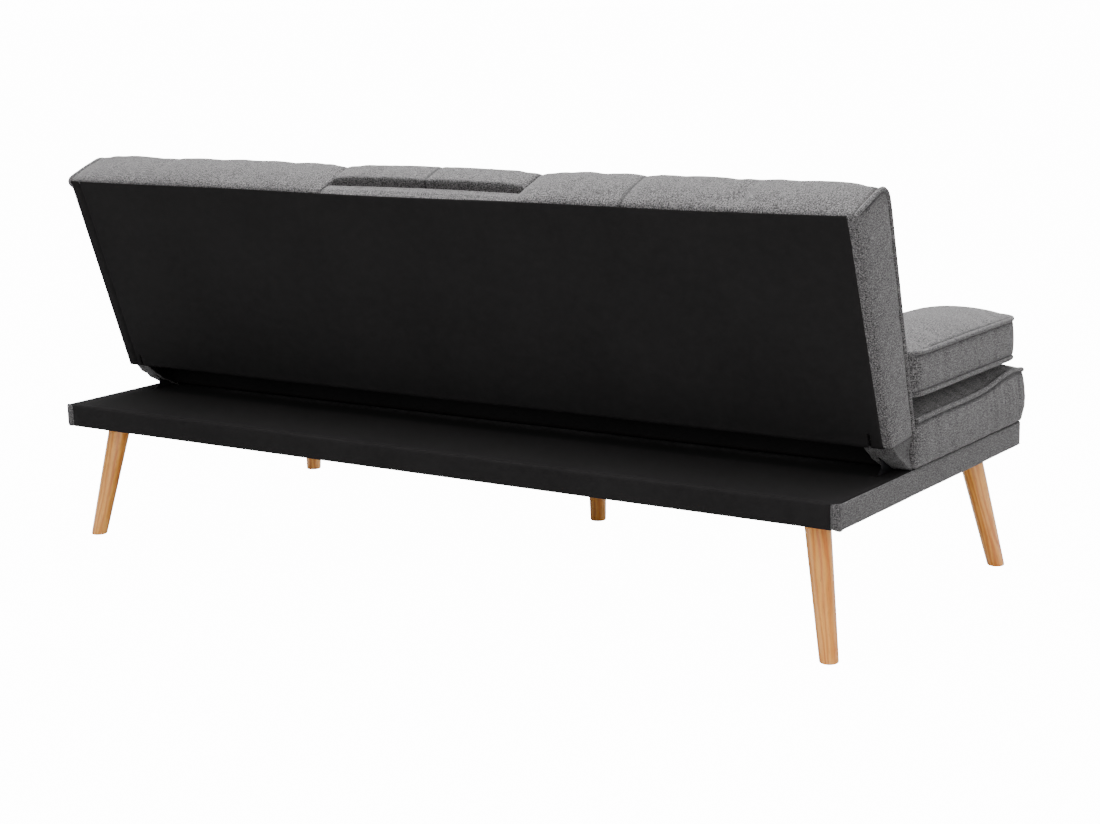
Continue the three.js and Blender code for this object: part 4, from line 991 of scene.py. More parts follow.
def run_along(name, lines, tree, inputs, closed=False):
    # the tree's work along the lines, turned to a plain mesh
    points, edges = [], []
    for line in lines:
        first = len(points)
        points += [tuple(point) for point in line]
        edges += [(first + i, first + i + 1) for i in range(len(line) - 1)]
        if closed:
            edges.append((len(points) - 1, first))
    mesh = bpy.data.meshes.new(name)
    mesh.from_pydata(points, edges, [])
    piece = bpy.data.objects.new(name, mesh)
    bpy.context.scene.collection.objects.link(piece)
    maker = piece.modifiers.new("maker", "NODES")
    maker.node_group = tree
    sockets = {item.name: item.identifier for item in tree.interface.items_tree if item.in_out == "INPUT"}
    for label, value in inputs.items():
        maker[sockets[label]] = value
    settled(piece)
    return piece


def piping(name, lines, body, closed=False, lean=0.0):
    cord = run_along(name, lines, piping_nodes, {
        "Radius": piping_radius, "Step": piping_step, "Finish": linen_cushion,
    }, closed)
    cloth_map(cord, lean)
    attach(cord, body)
    return cord


def thread_finish():
    finish = Finish("seam_thread")
    ply = finish.noise(finish.place(), 1400.0)
    return finish.done({
        "Base Color": finish.ramp(ply, [(0.3, (0.035, 0.035, 0.037)), (0.7, (0.10, 0.10, 0.105))]),
        "Roughness": ply * 0.2 + 0.6,
        "Normal": finish.bump(ply, 0.0002),
    })


thread = thread_finish()


def stitches(name, lines, body):
    row = run_along(name, lines, stitch_nodes, {
        "Pitch": 0.0042, "Length": 0.0017, "Radius": 0.00042, "Finish": thread,
    })
    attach(row, body)
    return row


def dropped_on(piece, starts, direction):
    # where lines from the starting points meet the piece, the thread just proud of the cloth
    tree = BVHTree.FromObject(piece, bpy.context.evaluated_depsgraph_get())
    direction = Vector(direction).normalized()
    found = []
    for start in starts:
        hit = tree.ray_cast(Vector(start), direction)[0]
        if hit is not None:
            found.append(hit - direction * stitch_lift)
    return found


def laid_on(piece, line, proud=0.0027):
    # brings each place of a line to the piece, to stand a little proud of it, and evens the line out
    tree = BVHTree.FromObject(piece, bpy.context.evaluated_depsgraph_get())
    laid = []
    for place in line:
        touch, outward = tree.find_nearest(Vector(place))[:2]
        away = Vector(place) - touch
        if away.length > 1e-4 and away.dot(outward) > 0:
            outward = away.normalized()
        laid.append(touch + outward * proud)
    laid = np.array(laid)
    even = laid.copy()
    even[2:-2] = sum(laid[k:len(laid) - 4 + k] for k in range(5)) / 5
    return even


seat_edge_inset = 0.0002
seat_edge_lift = 0.0010
end_y = np.linspace(seat_rear - 0.004, seat_front + seat_edge_inset, 160)
front_x = np.linspace(-seat_half + seat_edge_inset, seat_half - seat_edge_inset, 600)
end_line = [(y, seat_welt_at(seat_half, y) + seat_edge_lift) for y in end_y]
seat_edge = [(front_x[0], y, z) for y, z in end_line]
for x in front_x[1:-1]:
    seat_edge.append((x, seat_front + seat_edge_inset, seat_welt_at(x, seat_front) + seat_edge_lift))
seat_edge += [(front_x[-1], y, z) for y, z in end_line[::-1]]
seat_edge = eased_corners(np.array(seat_edge))
piping("seat_piping", [laid_on(seat, seat_edge)], "base")

column_y = np.linspace(seat_front + 0.006, seat_rear - 0.006, 110)
seat_starts = [[(x, y, above_seat) for y in column_y] for x in seat_columns[1:-1]]
seat_starts.append([(x, seat_row_seam, above_seat) for x in np.linspace(-seat_row_end, seat_row_end, 350)])
stitches("seat_stitches", [dropped_on(seat, starts, (0, 0, -1)) for starts in seat_starts], "base")


# Click-clack hinges. Pressed steel: a toothed plate bolted inside each end rail, an arm bolted inside each
# end board of the back, a headed pin between them, and a pawl with its leaf spring.
steel_parts = [
    "hinge_seat_plate", "hinge_back_plate", "hinge_pin", "hinge_pawl", "pawl_spring", "console_pin",
]
steel_nodes = [f"{part}_{side}" for side in ("left", "right") for part in steel_parts]
refinished(steel_nodes, steel("hinge_black_steel", (0.060, 0.060, 0.064), 0.42))


# Back frame. Pine end boards and posts with flat rails of plywood between them, glued and screwed; the
# console's tray frame is of the same timber. All of it is inside the covers.
back_timber = timber("pine_upright", (1.0, 1.0, 0.05))
refinished(["back_end_board_left", "back_end_board_right", "back_post_left", "back_post_right"], back_timber)
refinished(["back_bottom_board", "back_top_rail", "console_frame"], timber("plywood", (0.05, 1.0, 1.0)))


# Back cushions. Two padded blocks of foam in quilted linen, either side of the console, each with two rows
# of three panels in front, a rounded top, and an end border with a piped edge. The linen is drawn round to
# the rear and stapled to the frame. Each has a slot underneath for its hinge.
pivot_y, pivot_z = 0.1435, 0.356
back_lean = math.radians(13.65)
back_half = 0.9000
bay_half = 0.2260
back_front = -0.023
back_foot = -0.020
back_foot_rear, back_foot_rear_rise = 0.061, -0.005
back_rear_slope = 0.034 / 0.417
back_head_rear_rise = 0.4235
back_head_rear = back_foot_rear + back_rear_slope * (back_head_rear_rise - back_foot_rear_rise)
back_head_round = 0.007
back_top_radius = 0.026
back_top = 0.435
back_top_centre = (back_front + back_top_radius, back_top - back_top_radius)
back_top_slope = (back_top - back_head_rear_rise) / (back_head_rear - back_top_centre[0])
back_crown = 0.0135
back_top_crown = 0.0125
border_pucker = 0.0009
back_rear_crown_share = 0.25
back_rows = [back_foot, 0.2175, back_top]
back_columns = [bay_half, 2 * panel, 3 * panel, back_half]
back_seam_share = 0.44
back_column_shares = [0.0, back_seam_share, back_seam_share, 0.0]
back_column_top_shares = [0.15, 0.80, 0.80, 0.05]
back_row_shares = [0.0, back_seam_share, 1.0]
back_swell = 0.75
back_shoulder = 0.40       # above this the cover's top edge swells
back_seam_end = 0.405      # where the seams of the front pass on to the top
back_crest = 0.425         # above this it is the top itself
back_end_from = 0.8        # beyond this a face that stands upright is the end border
back_edge_out = 0.0012     # how far outside the end's edge its piping is laid out
before_back = -0.3         # where the lines that look for the seams of the front start
above_back = 0.8           # and those that look for the seams of the top
both_sides = (("left", -1), ("right", 1))
opening_half = 0.883
opening_top = 0.4185
rear_recess = 0.0045
underside_recess = 0.0022


def leaned(x, u, v):
    # from the back's own upright frame, u towards the rear and v up from the hinge pin, to the sofa's
    cosine, sine = math.cos(back_lean), math.sin(back_lean)
    return (x, pivot_y + u * cosine + v * sine, pivot_z - u * sine + v * cosine)


def upright(places):
    cosine, sine = math.cos(back_lean), math.sin(back_lean)
    y, z = places[:, 1] - pivot_y, places[:, 2] - pivot_z
    return y * cosine - z * sine, y * sine + z * cosine


def rear_at(v):
    return back_foot_rear + back_rear_slope * (v - back_foot_rear_rise)


def bottom_at(u):
    return back_foot + (back_foot_rear_rise - back_foot) * (u - back_front) / (back_foot_rear - back_front)


def on_back(x, *sides):
    # the four sides of an outline at x, from the back's own frame
    return tuple([leaned(x, u, v) for u, v in side] for side in sides)


def rear_corner(top_v, radius):
    # the round corner between the rear and the top, from the rear up
    return [
        (back_head_rear - radius * (1 - math.cos(a)), top_v - radius * (1 - math.sin(a)))
        for a in np.linspace(0.0, math.pi / 2, 5)
    ]


def rear_side(low_v, high_v, count, inside=1.0):
    # the rear up to its corner, set in where the black panel covers it
    side = []
    for v in np.linspace(low_v, high_v, count)[:-1]:
        recess = rear_recess * inside * min(1.0, max(0.0, (opening_top - 0.006 - v) / 0.006))
        side.append((rear_at(v) - recess, v))
    return side


def padded_front(front_share, top_share, crown, rows, foot, steps):
    # the round top edge and the quilted front, from the top down to the foot
    centre_u, centre_v = back_top_centre
    front_crown = crown * float(fullness(centre_v, rows, back_row_shares, back_swell)) * front_share
    points = []
    for part in np.linspace(0.0, 1.0, 6):
        radius = back_top_radius + back_top_crown * top_share * (1 - part) + front_crown * part
        angle = math.pi / 2 * (1 + part)
        points.append((centre_u + radius * math.cos(angle), centre_v + radius * math.sin(angle)))
    for v in spread((centre_v, rows[1], steps[0]), (rows[1], foot, steps[1]))[1:]:
        row = float(fullness(v, rows, back_row_shares, back_swell))
        points.append((back_front - crown * front_share * row, v))
    return points


def padded_top(top_share, rear_u, steps, rear_crown_share):
    # the sloping top, from the rear forwards
    centre_u = back_top_centre[0]
    points = []
    for u in np.linspace(rear_u, centre_u, steps + 1):
        part = (rear_u - u) / (rear_u - centre_u)
        rise = rear_crown_share + (1 - rear_crown_share) * math.sin(math.pi / 2 * min(1.0, 1.6 * part))
        points.append((u, back_top - back_top_slope * (u - centre_u) + back_top_crown * top_share * rise))
    return points


def back_outline(x):
    front_share = float(fullness(abs(x), back_columns, back_column_shares, back_swell))
    top_share = float(fullness(abs(x), back_columns, back_column_top_shares, back_swell))
    inside = min(1.0, max(0.0, (opening_half - 0.004 - abs(x)) / 0.006))
    set_in = underside_recess * inside
    low = [(u, bottom_at(u) + set_in) for u in np.linspace(back_front, back_foot_rear, 13)]
    top = padded_top(top_share, back_head_rear, 12, back_rear_crown_share)
    turn = rear_corner(top[0][1], back_head_round)
    rear = rear_side(back_foot_rear_rise + set_in, turn[0][1], 43, inside) + turn[:3]
    top = [*turn[2:4], *[point for point in top if point[0] < back_head_rear - back_head_round]]
    top = top[:1] + top[-12:]
    front = padded_front(front_share, top_share, back_crown, back_rows, back_foot, (17, 22))
    return on_back(x, low, rear, top, front)


def back_seams(places, top_too=True):
    u, v = upright(places)
    front = u < back_front + 0.006
    padded = front | ((v > back_seam_end) & top_too)
    column = near_any(np.abs(places[:, 0]), back_columns[1:-1])
    row = np.where(front, np.abs(v - back_rows[1]), 1.0)
    return np.where(padded & (np.abs(places[:, 0]) < back_half - 0.004), np.minimum(column, row), 1.0)


def top_seam(places):
    # the one seam of the cover's top whose stitched line shows plainly
    u, v = upright(places)
    on_top = (v > back_seam_end) & (u > back_front + 0.004)
    return np.where(on_top, np.abs(places[:, 0] + 2 * panel), 1.0)


def end_edge(places):
    # how far each point is from the piped edge of its end
    u, v = upright(places)
    centre_u, centre_v = back_top_centre
    below = np.minimum(back_top - back_top_slope * (u - centre_u) - v, u - back_front)
    rounded = back_top_radius - np.hypot(u - centre_u, v - centre_v)
    below = np.where((u < centre_u) & (v > centre_v), rounded, below)
    return np.hypot(below, back_half - np.abs(places[:, 0]))


def back_sewn(places):
    u, v = upright(places)
    x = np.abs(places[:, 0])
    held = (back_seams(places, False) < 0.003) | (top_seam(places) < 0.003)
    held |= v < bottom_at(u) + 0.005
    held |= u > rear_at(v) - 0.009
    held |= x < bay_half + 0.002
    edge_v = back_top - back_top_slope * (u - back_top_centre[0])
    outline = (u < back_front + 0.001) | (v > edge_v - 0.0015)
    from_centre = np.hypot(u - back_top_centre[0], v - back_top_centre[1])
    rounded = (u < back_top_centre[0]) & (v > back_top_centre[1]) & (from_centre > back_top_radius - 0.002)
    held |= (x > back_half - 0.001) & (outline | rounded)
    return held


def free_to_swell(u, v, normals):
    # the front and the top edge, and then of these the top itself
    return ((u < 0.0) | (v > back_shoulder)) & (np.abs(normals[:, 0]) < 0.7), (v > back_crest) & (u > 0.0)


def back_most(places, normals):
    u, v = upright(places)
    padded, above = free_to_swell(u, v, normals)
    most = np.where(above, 0.0022, np.where(v > back_shoulder, 0.0050, 0.0085))
    return np.where(padded, most, np.where(np.abs(places[:, 0]) > back_end_from, 0.0026, 0.0006))


def hollowed(piece, solids):
    # takes the given closed pieces out of it, and removes them
    for solid in solids:
        taken = piece.modifiers.new("hollow", "BOOLEAN")
        taken.operation = "DIFFERENCE"
        taken.solver = "EXACT"
        taken.object = solid
    settled(piece)
    for solid in solids:
        bpy.data.objects.remove(solid)
    return piece


def slot_block(name, xs, u_reach, v_reach, finish):
    # a straight bar in the back's own frame, for a slot
    (u0, u1), (v0, v1) = u_reach, v_reach
    outlines = [
        [[leaned(x, u0, v0), leaned(x, u1, v0)], [leaned(x, u1, v0), leaned(x, u1, v1)],
         [leaned(x, u1, v1), leaned(x, u0, v1)], [leaned(x, u0, v1), leaned(x, u0, v0)]]
        for x in sorted(xs)
    ]
    return block_piece(name, outlines, finish)


def border_puckers(piece):
    # the end border's slight unevenness between its seams
    places = places_of(piece)
    u, v = upright(places)
    border = np.clip((np.abs(places[:, 0]) - back_half + 0.003) / 0.003, 0.0, 1.0)
    within = np.clip((u - back_front) / 0.02, 0.0, 1.0) * np.clip((rear_at(v) - u) / 0.02, 0.0, 1.0)
    uneven = np.sin(v * 57.0 + 0.8 * np.sin(v * 17.0)) * 0.6 + np.sin(v * 131.0 + u * 60.0) * 0.4
    places[:, 0] += np.sign(places[:, 0]) * border * within * border_pucker * uneven
    place_all(piece, places)


back_cushions = {}
for side, sign in both_sides:
    stations = sign * spread(*[(start, end, 20) for start, end in zip(back_columns, back_columns[1:])])
    cushion = block_piece(f"back_cushion_{side}", [back_outline(x) for x in sorted(stations)], linen_cushion)
    stuffed(cushion, back_sewn, back_most)
    cushion_places = places_of(cushion)
    from_front_seam, from_top_seam = back_seams(cushion_places, False), top_seam(cushion_places)
    from_edge = end_edge(cushion_places)
    # painted shade along the seams of the front and top, and a painted shadow line beside the end's piping,
    # through the seam attribute
    drawn_in(
        cushion, from_front_seam, 0.0048, 0.0075, 0.0007, cushion_places[:, 2] + cushion_places[:, 0],
        dark=np.minimum(np.minimum(from_front_seam, from_top_seam), np.abs(from_edge - piping_shadow)),
    )
    soft_top = np.where(from_top_seam < 0.5, back_seams(cushion_places), 1.0)
    sink = 0.0012 * beside(soft_top, 0.014) + 0.0016 * beside(from_top_seam, 0.005)
    sink += 0.0014 * beside(from_edge, 0.006)
    pressed_in(cushion, sink)
    border_puckers(cushion)
    slot_x = (sign * 0.8494, sign * 0.8640)
    hollowed(cushion, [
        slot_block("low_slot", slot_x, (-0.019, 0.12), (-0.05, 0.020), linen_cushion),
        slot_block("high_slot", slot_x, (-0.019, 0.044), (-0.03, 0.160), linen_cushion),
    ])
    cloth_map(cushion, back_lean)
    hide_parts("back_cover", f"back_foam_{side}")
    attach(cushion, "back")
    back_cushions[side] = cushion


back_piping_end = [
    # below the corner, how far it is in from the rear, how far inside the end
    (0.005, 0.0, 0.002), (0.009, 0.0, 0.0055), (0.013, 0.0, 0.010),
    (0.016, 0.00168, 0.014), (0.019, 0.00216, 0.018),
]


def end_profile():
    # the edge of a back end, from its foot in front, over the top and round the rear top corner, where it
    # turns in under the rear panel; each place with how far it lies inside the end
    centre_u, centre_v = back_top_centre
    out = back_edge_out
    line = [(back_front - out, v, 0.0) for v in np.linspace(back_foot + 0.002, centre_v, 60)[:-1]]
    for angle in np.linspace(math.pi, math.pi / 2, 12):
        radius = back_top_radius + out
        line.append((centre_u + radius * math.cos(angle), centre_v + radius * math.sin(angle), 0.0))
    turn_u = back_head_rear - back_head_round
    for u in np.linspace(centre_u, turn_u, 18)[1:]:
        line.append((u, back_top - back_top_slope * (u - centre_u) + out, 0.0))
    turn_v = back_top - back_top_slope * (turn_u - centre_u) - back_head_round
    for angle in np.linspace(math.pi / 2, 0.0, 6)[1:]:
        radius = back_head_round + out
        line.append((turn_u + radius * math.cos(angle), turn_v + radius * math.sin(angle), 0.0006))
    for drop, sunk, inset in back_piping_end:
        line.append((rear_at(turn_v - drop) - sunk, turn_v - drop, inset))
    return line


rearwards = Vector(leaned(0.0, 1.0, 0.0)) - Vector(leaned(0.0, 0.0, 0.0))
end_lines = []
for side, sign in both_sides:
    edge = [leaned(sign * (back_half + 0.0006 - inset), u, v) for u, v, inset in end_profile()]
    line = laid_on(back_cushions[side], edge)
    ending = len(back_piping_end)
    line[-ending:] -= np.outer(np.linspace(0.0012, 0.0088, ending), rearwards)
    end_lines.append(line)
piping("back_piping", end_lines, "back", lean=back_lean)

downwards = Vector(leaned(0.0, 0.0, -1.0)) - Vector(leaned(0.0, 0.0, 0.0))
top_starts = [leaned(-2 * panel, u, above_back) for u in np.linspace(0.0, back_head_rear - 0.010, 30)]
column_v = np.linspace(back_foot + 0.01, back_seam_end, 110)
row_x = np.linspace(bay_half + 0.006, back_half - 0.006, 150)
back_lines = [dropped_on(back_cushions["left"], top_starts, downwards)]
for side, sign in both_sides:
    front_starts = [[leaned(sign * x, before_back, v) for v in column_v] for x in back_columns[1:-1]]
    front_starts.append([leaned(sign * x, before_back, back_rows[1]) for x in row_x])
    back_lines += [dropped_on(back_cushions[side], starts, rearwards) for starts in front_starts]
stitches("back_stitches", back_lines, "back")


# Middle of the back. Below and behind the console the cover forms its bay: a padded strip at the foot, and a
# rear wall of linen over the plywood, with a rounded lip of linen over the top rail.
centre_half = bay_half + 0.0012
bay_rear = 0.058
bay_floor = 0.041
lip_drop = 0.0045
lip_front_round = 0.008
lip_rear_round = back_head_round * 1.3
centre_stations = np.linspace(-centre_half, centre_half, 41)


def centre_wall_outline(x):
    swell = 0.0022 * math.cos(math.pi / 2 * x / centre_half)

    def high(u):
        return back_top - back_top_slope * (u - back_top_centre[0]) - lip_drop + swell

    low = [(u, bottom_at(u) + underside_recess) for u in np.linspace(bay_rear, back_foot_rear, 9)]
    turn = rear_corner(high(back_head_rear), lip_rear_round)
    rear = rear_side(low[-1][1], turn[0][1], 36) + turn[:3]
    inner = high(bay_rear)
    roll = [
        (bay_rear + lip_front_round * (1 - math.sin(a)), inner - lip_front_round * (1 - math.cos(a)))
        for a in np.linspace(0.0, math.pi / 2, 5)
    ]
    crest = 0.5 * (turn[4][0] + roll[0][0])
    crown = [
        (crest + aside, high(crest) + rise)
        for aside, rise in ((0.006, 0.0010), (0.0, 0.0012), (-0.006, 0.0010))
    ]
    front = roll[2:] + [(bay_rear, v) for v in np.linspace(roll[4][1], low[0][1], 36)[1:]]
    return on_back(x, low, rear, turn[2:] + crown + roll[:3], front)


def centre_foot_outline(x):
    share = float(fullness(x, [-bay_half, 0.0, bay_half], [0.0, back_seam_share, 0.0], back_swell))
    low = [(u, bottom_at(u) + underside_recess) for u in np.linspace(back_front, bay_rear, 9)]
    rear = [(bay_rear, v) for v in np.linspace(low[-1][1], bay_floor, 7)]
    top = [(u, bay_floor) for u in np.linspace(bay_rear, back_front, 9)]
    front = [
        (back_front - 0.004 * share * math.sin(math.pi * part), bay_floor + (low[0][1] - bay_floor) * part)
        for part in np.linspace(0.0, 1.0, 7)
    ]
    return on_back(x, low, rear, top, front)


centre_outlines = {"back_centre_wall": centre_wall_outline, "back_centre_foot": centre_foot_outline}
for name, outline_at in centre_outlines.items():
    centre = block_piece(name, [outline_at(x) for x in centre_stations], linen_cushion)
    finer(centre)
    # painted shade only: darkens the linen at both ends, where the centre meets the cushions; nothing is
    # pulled in
    drawn_in(centre, near_any(np.abs(places_of(centre)[:, 0]), [centre_half]), 0.0, 0.008)
    cloth_map(centre, back_lean)
    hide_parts("back_cover", "back_foam_centre")
    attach(centre, "back")


# Rear panel. Black spunbond cloth with its edges turned under, stapled over the raw edges of the linen on
# the rear of the back and carried round underneath. It is slit at each end for the hinge arm, and the slit
# is lined with the same cloth.
panel_reach_left = 0.8840
panel_reach_right = 0.8968
panel_fold = 0.8722
panel_proud = 0.0009
panel_top = 0.4212
panel_waves = [(0.5, (6.3, 0.0, 8.0, 0.5)), (0.35, (13.7, 0.0, 5.0, 2.4)), (0.25, (3.1, 0.0, 19.0, 1.2))]
arm_slit_top = 0.018
lining_depth = 0.0104


def rear_face(x, v):
    # how far back the cushions' rear reaches, round over its top corner
    corner = back_head_rear_rise + back_top_crown * back_rear_crown_share * 0.8 * (abs(x) > bay_half)
    over = min(back_head_round, max(0.0, v - corner + back_head_round))
    return rear_at(v) - back_head_round + math.sqrt(back_head_round ** 2 - over ** 2)


def panel_rows():
    # how proud each row stands and how far it is below the cloth's top edge
    insets = np.linspace(0.016, panel_top - back_foot_rear_rise - 0.004, 40)
    rim = [(-0.0012, 0.0), (0.0004, 0.0006), (panel_proud, 0.0024), (panel_proud, 0.0070)]
    return rim + [(panel_proud, inset) for inset in insets]


def in_arm_slit(point):
    u, v = upright(np.array([point]))
    return slit_inner < abs(point[0]) < slit_outer and v[0] < arm_slit_top


def panel_reach(x):
    return panel_reach_right if x > 0 else panel_reach_left


panel_x = sorted([
    *np.linspace(-panel_reach_left + 0.006, panel_fold - 0.006, 150),
    *[-panel_reach_left + inside for inside in (0.0, 0.0006, 0.0022)],
    *[panel_reach_right - inside for inside in (0.0, 0.0006, 0.0022, 0.008, 0.014)],
    *[panel_fold + aside for aside in (-0.0024, -0.0008, 0.0008, 0.0024)],
    *[sign * place for sign in (-1, 1) for place in (slit_inner, slit_outer)],
])
panel_grid = []
for proud, inset in panel_rows():
    row = []
    for x in panel_x:
        sag = 0.0026 * math.cos(x * math.pi / 2 / 0.9) + 0.0010 * math.sin(x * 9.0 + 0.7)
        v = panel_top - sag * max(0.0, 1 - inset / 0.2) - inset
        edge = min(1.0, (panel_reach(x) - abs(x)) / 0.0022)
        middle = min(1.0, inset / 0.05) * min(1.0, max(0.0, panel_reach_left - abs(x)) / 0.05)
        drift = waviness(leaned(x, 0.0, v), 0.0011, panel_waves) * middle - 0.0014 * middle
        drift -= 0.0022 * math.exp(-(((x - panel_fold) / 0.0012) ** 2)) - 0.0010 * (x > panel_fold + 0.001)
        row.append(leaned(x, rear_face(x, v) + proud * edge - 0.0012 * (1 - edge) + drift, v))
    panel_grid.append(row)
for u_in in np.linspace(0.0, back_foot_rear - back_front - 0.006, 12):
    row = []
    for x in panel_x:
        u = back_foot_rear - u_in - 0.001 * (u_in > 0)
        low = waviness(leaned(x, u, 0.0), 0.0010, panel_waves) - panel_proud
        row.append(leaned(x, u, bottom_at(u) + min(0.0, low)))
    panel_grid.append(row)
rear_black = black_cloth("black_rear_panel")
rear_panel = cloth_strip("rear_panel_sheet", panel_grid, rear_black, 0.0007, in_arm_slit)
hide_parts("back_rear_panel")
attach(rear_panel, "back")

for side, sign in both_sides:
    # each place on the slit's rim, and which way the lining goes in from there
    edge = [(u, bottom_at(u), 0.0, 1.0) for u in np.linspace(back_front + 0.01, back_foot_rear, 9)]
    edge += [(rear_at(v), v, -1.0, 0.3) for v in np.linspace(0.002, arm_slit_top, 4)]
    rim = [(slit_inner, *place) for place in edge]
    over_x = np.linspace(slit_inner, slit_outer, 4)[1:-1]
    rim += [(x, rear_at(arm_slit_top), arm_slit_top, -1.0, 0.0) for x in over_x]
    rim += [(slit_outer, *place) for place in edge[::-1]]
    lining_grid = [
        [leaned(sign * x, u + du * depth, v + dv * depth) for x, u, v, du, dv in rim]
        for depth in np.linspace(0.0004, lining_depth, 5)
    ]
    lining = cloth_strip(f"slot_lining_{side}", lining_grid[::sign], rear_black, 0.0005)
    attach(lining, "back")


# Hinge gussets. A loose web of linen at each end, sewn along the foot of the seat's rear and to the rear
# bottom edge of the back, with a side piece. It slopes across the wedge under the back, crumpled, and is
# slit for the hinge.
gusset_half = 0.8950
gusset_inner = 0.8455
gusset_foot = 0.1122
gusset_rear_inner = 0.1996
gusset_rear_outer = 0.1890
gusset_low = 0.2818
gusset_top = 0.3372
gusset_sag = 0.0050
gusset_slit_inner, gusset_slit_outer = slit_inner - 0.0004, slit_outer + 0.0004
gusset_slit_top = 0.3135
gusset_rows = 30
gusset_side_columns = 8
gusset_waves = [
    (0.45, (60.0, 75.0, 150.0, 0.3)), (0.35, (150.0, 110.0, 210.0, 1.4)), (0.2, (310.0, 250.0, 90.0, 0.2)),
]
# painted shade: the gusset's linen is a darker copy of the cushion linen, for the shadow in the wedge under
# the back
linen_gusset_shaded = linen("linen_gusset_shaded", 0.58)


def in_gusset_slit(point):
    return gusset_slit_inner < abs(point[0]) < gusset_slit_outer and point[2] < gusset_slit_top


def back_underside(y):
    # the height of the upright back's underside at its end
    return 0.3430 - (y - 0.1164) * 0.0622


gusset_x = spread(
    (gusset_inner, gusset_slit_inner, 5), (gusset_slit_inner, gusset_slit_outer, 2),
    (gusset_slit_outer, gusset_half, 14),
)
for side, sign in both_sides:
    grid = []
    for t in np.linspace(0.0, 1.0, gusset_rows):
        row = []
        sag = gusset_sag * math.sin(math.pi * t)
        for x in gusset_x:
            share = (x - gusset_inner) / (gusset_half - gusset_inner)
            rear = gusset_rear_inner + (gusset_rear_outer - gusset_rear_inner) * share
            y = gusset_foot + (rear - gusset_foot) * t + 0.53 * sag
            row.append((sign * x, y, gusset_low + (gusset_top - gusset_low) * t - 0.85 * sag))
        y, z = row[-1][1:]
        under = back_underside(y)
        for share in np.linspace(0.0, 1.0, gusset_side_columns + 1)[1:]:
            hollow = 0.0075 * math.sin(math.pi * share) * (1 - t)
            row.append((sign * (gusset_half - hollow), y - 0.004 * (1 - t) * share, z + (under - z) * share))
        grid.append(row)
    grid = np.array(grid)
    columns = grid.shape[1]
    looseness = np.sin(np.linspace(0.25, math.pi - 0.15, gusset_rows))[:, None]
    folds = waviness(grid, 0.0036, gusset_waves) * looseness
    across = (0, 8, columns - 1)
    grid[:, :, 0] += sign * folds * np.linspace(0.0, 0.30, columns)[None, :]
    grid[:, :, 1] += folds * np.interp(range(columns), across, (0.25, 1.0, 0.15))[None, :]
    grid[:, :, 2] -= 0.5 * folds * np.interp(range(columns), across, (0.25, 1.0, 0.0))[None, :]
    grid[:, :, 2] = np.maximum(grid[:, :, 2], gusset_low)
    cells = np.cross(grid[1:, :-1] - grid[:-1, :-1], grid[:-1, 1:] - grid[:-1, :-1])
    gusset = cloth_strip(f"gusset_{side}", grid[::sign], linen_gusset_shaded, 0.0010, in_gusset_slit)
    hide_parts(f"hinge_gusset_{side}")
    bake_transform(gusset)


# Console. A padded panel in the same linen that fills the gap in the back and folds down in front of it on
# two pins. Its rear face, which is then on top, has a well for each of the two cup holders.
console_half = 0.2235
console_rear = 0.054
console_low = 0.047
console_foot_radius = 0.014
console_crown = 0.0098
console_rear_crown_share = 0.85
console_pivot = (-0.002, 0.083)
console_sweep = 0.05875
console_rows = [console_low + console_foot_radius, 0.2175, back_top]
cup_radius = 0.0393
cup_half_spacing = 0.095
cup_rise = 0.250
cup_depth = 0.0503
cup_sides = 48
linen_console = linen("linen_console")


def console_outline(x):
    console_columns = [-console_half, 0.0, console_half]
    front_share = float(fullness(x, console_columns, [0.0, back_seam_share, 0.0], back_swell))
    top_share = float(fullness(x, console_columns, [0.35, 0.92, 0.35], back_swell))
    foot = console_low + console_foot_radius
    front = padded_front(front_share, top_share, console_crown, console_rows, foot, (17, 14))
    low = [
        (back_front + console_foot_radius * (1 + math.cos(a)), foot + console_foot_radius * math.sin(a))
        for a in np.linspace(math.pi, 1.5 * math.pi, 5)
    ]
    first = -math.asin((console_pivot[1] - console_low) / console_sweep)
    last = -math.acos((console_rear - console_pivot[0]) / console_sweep)
    swept = [
        (console_pivot[0] + console_sweep * math.cos(a), console_pivot[1] + console_sweep * math.sin(a))
        for a in np.linspace(first, last, 5)
    ]
    low += [(u, console_low) for u in np.linspace(low[-1][0], swept[0][0], 6)[1:-1]] + swept
    top = padded_top(top_share, console_rear, len(low) - 1, console_rear_crown_share)
    rear = [(console_rear, v) for v in np.linspace(low[-1][1], top[0][1], len(front))]
    return on_back(x, low, rear, top, front)


def console_seams(places, top_too=True):
    u, v = upright(places)
    front = u < back_front + 0.006
    row = np.where(front, np.abs(v - console_rows[1]), 1.0)
    return np.where(front | ((v > back_seam_end) & top_too), np.minimum(np.abs(places[:, 0]), row), 1.0)


def console_sewn(places):
    u, v = upright(places)
    held = (console_seams(places) < 0.003) | (np.abs(places[:, 0]) > console_half - 0.001)
    return held | (u > console_rear - 0.001) | (v < console_low + 0.006)


def console_most(places, normals):
    u, v = upright(places)
    padded, above = free_to_swell(u, v, normals)
    return np.where(padded, np.where(above, 0.0012, 0.0065), 0.0004)


console_outlines = [console_outline(x) for x in np.linspace(-console_half, console_half, 41)]
console = block_piece("console_cushion", console_outlines, linen_console)
stuffed(console, console_sewn, console_most)
console_places = places_of(console)
console_u, console_v = upright(console_places)
rear_seam = np.where(console_v > back_top - 0.012, np.abs(console_rear - 0.0008 - console_u), 1.0)
down_rear = (console_u > console_rear - 0.0015) & (console_v < back_top - 0.014)
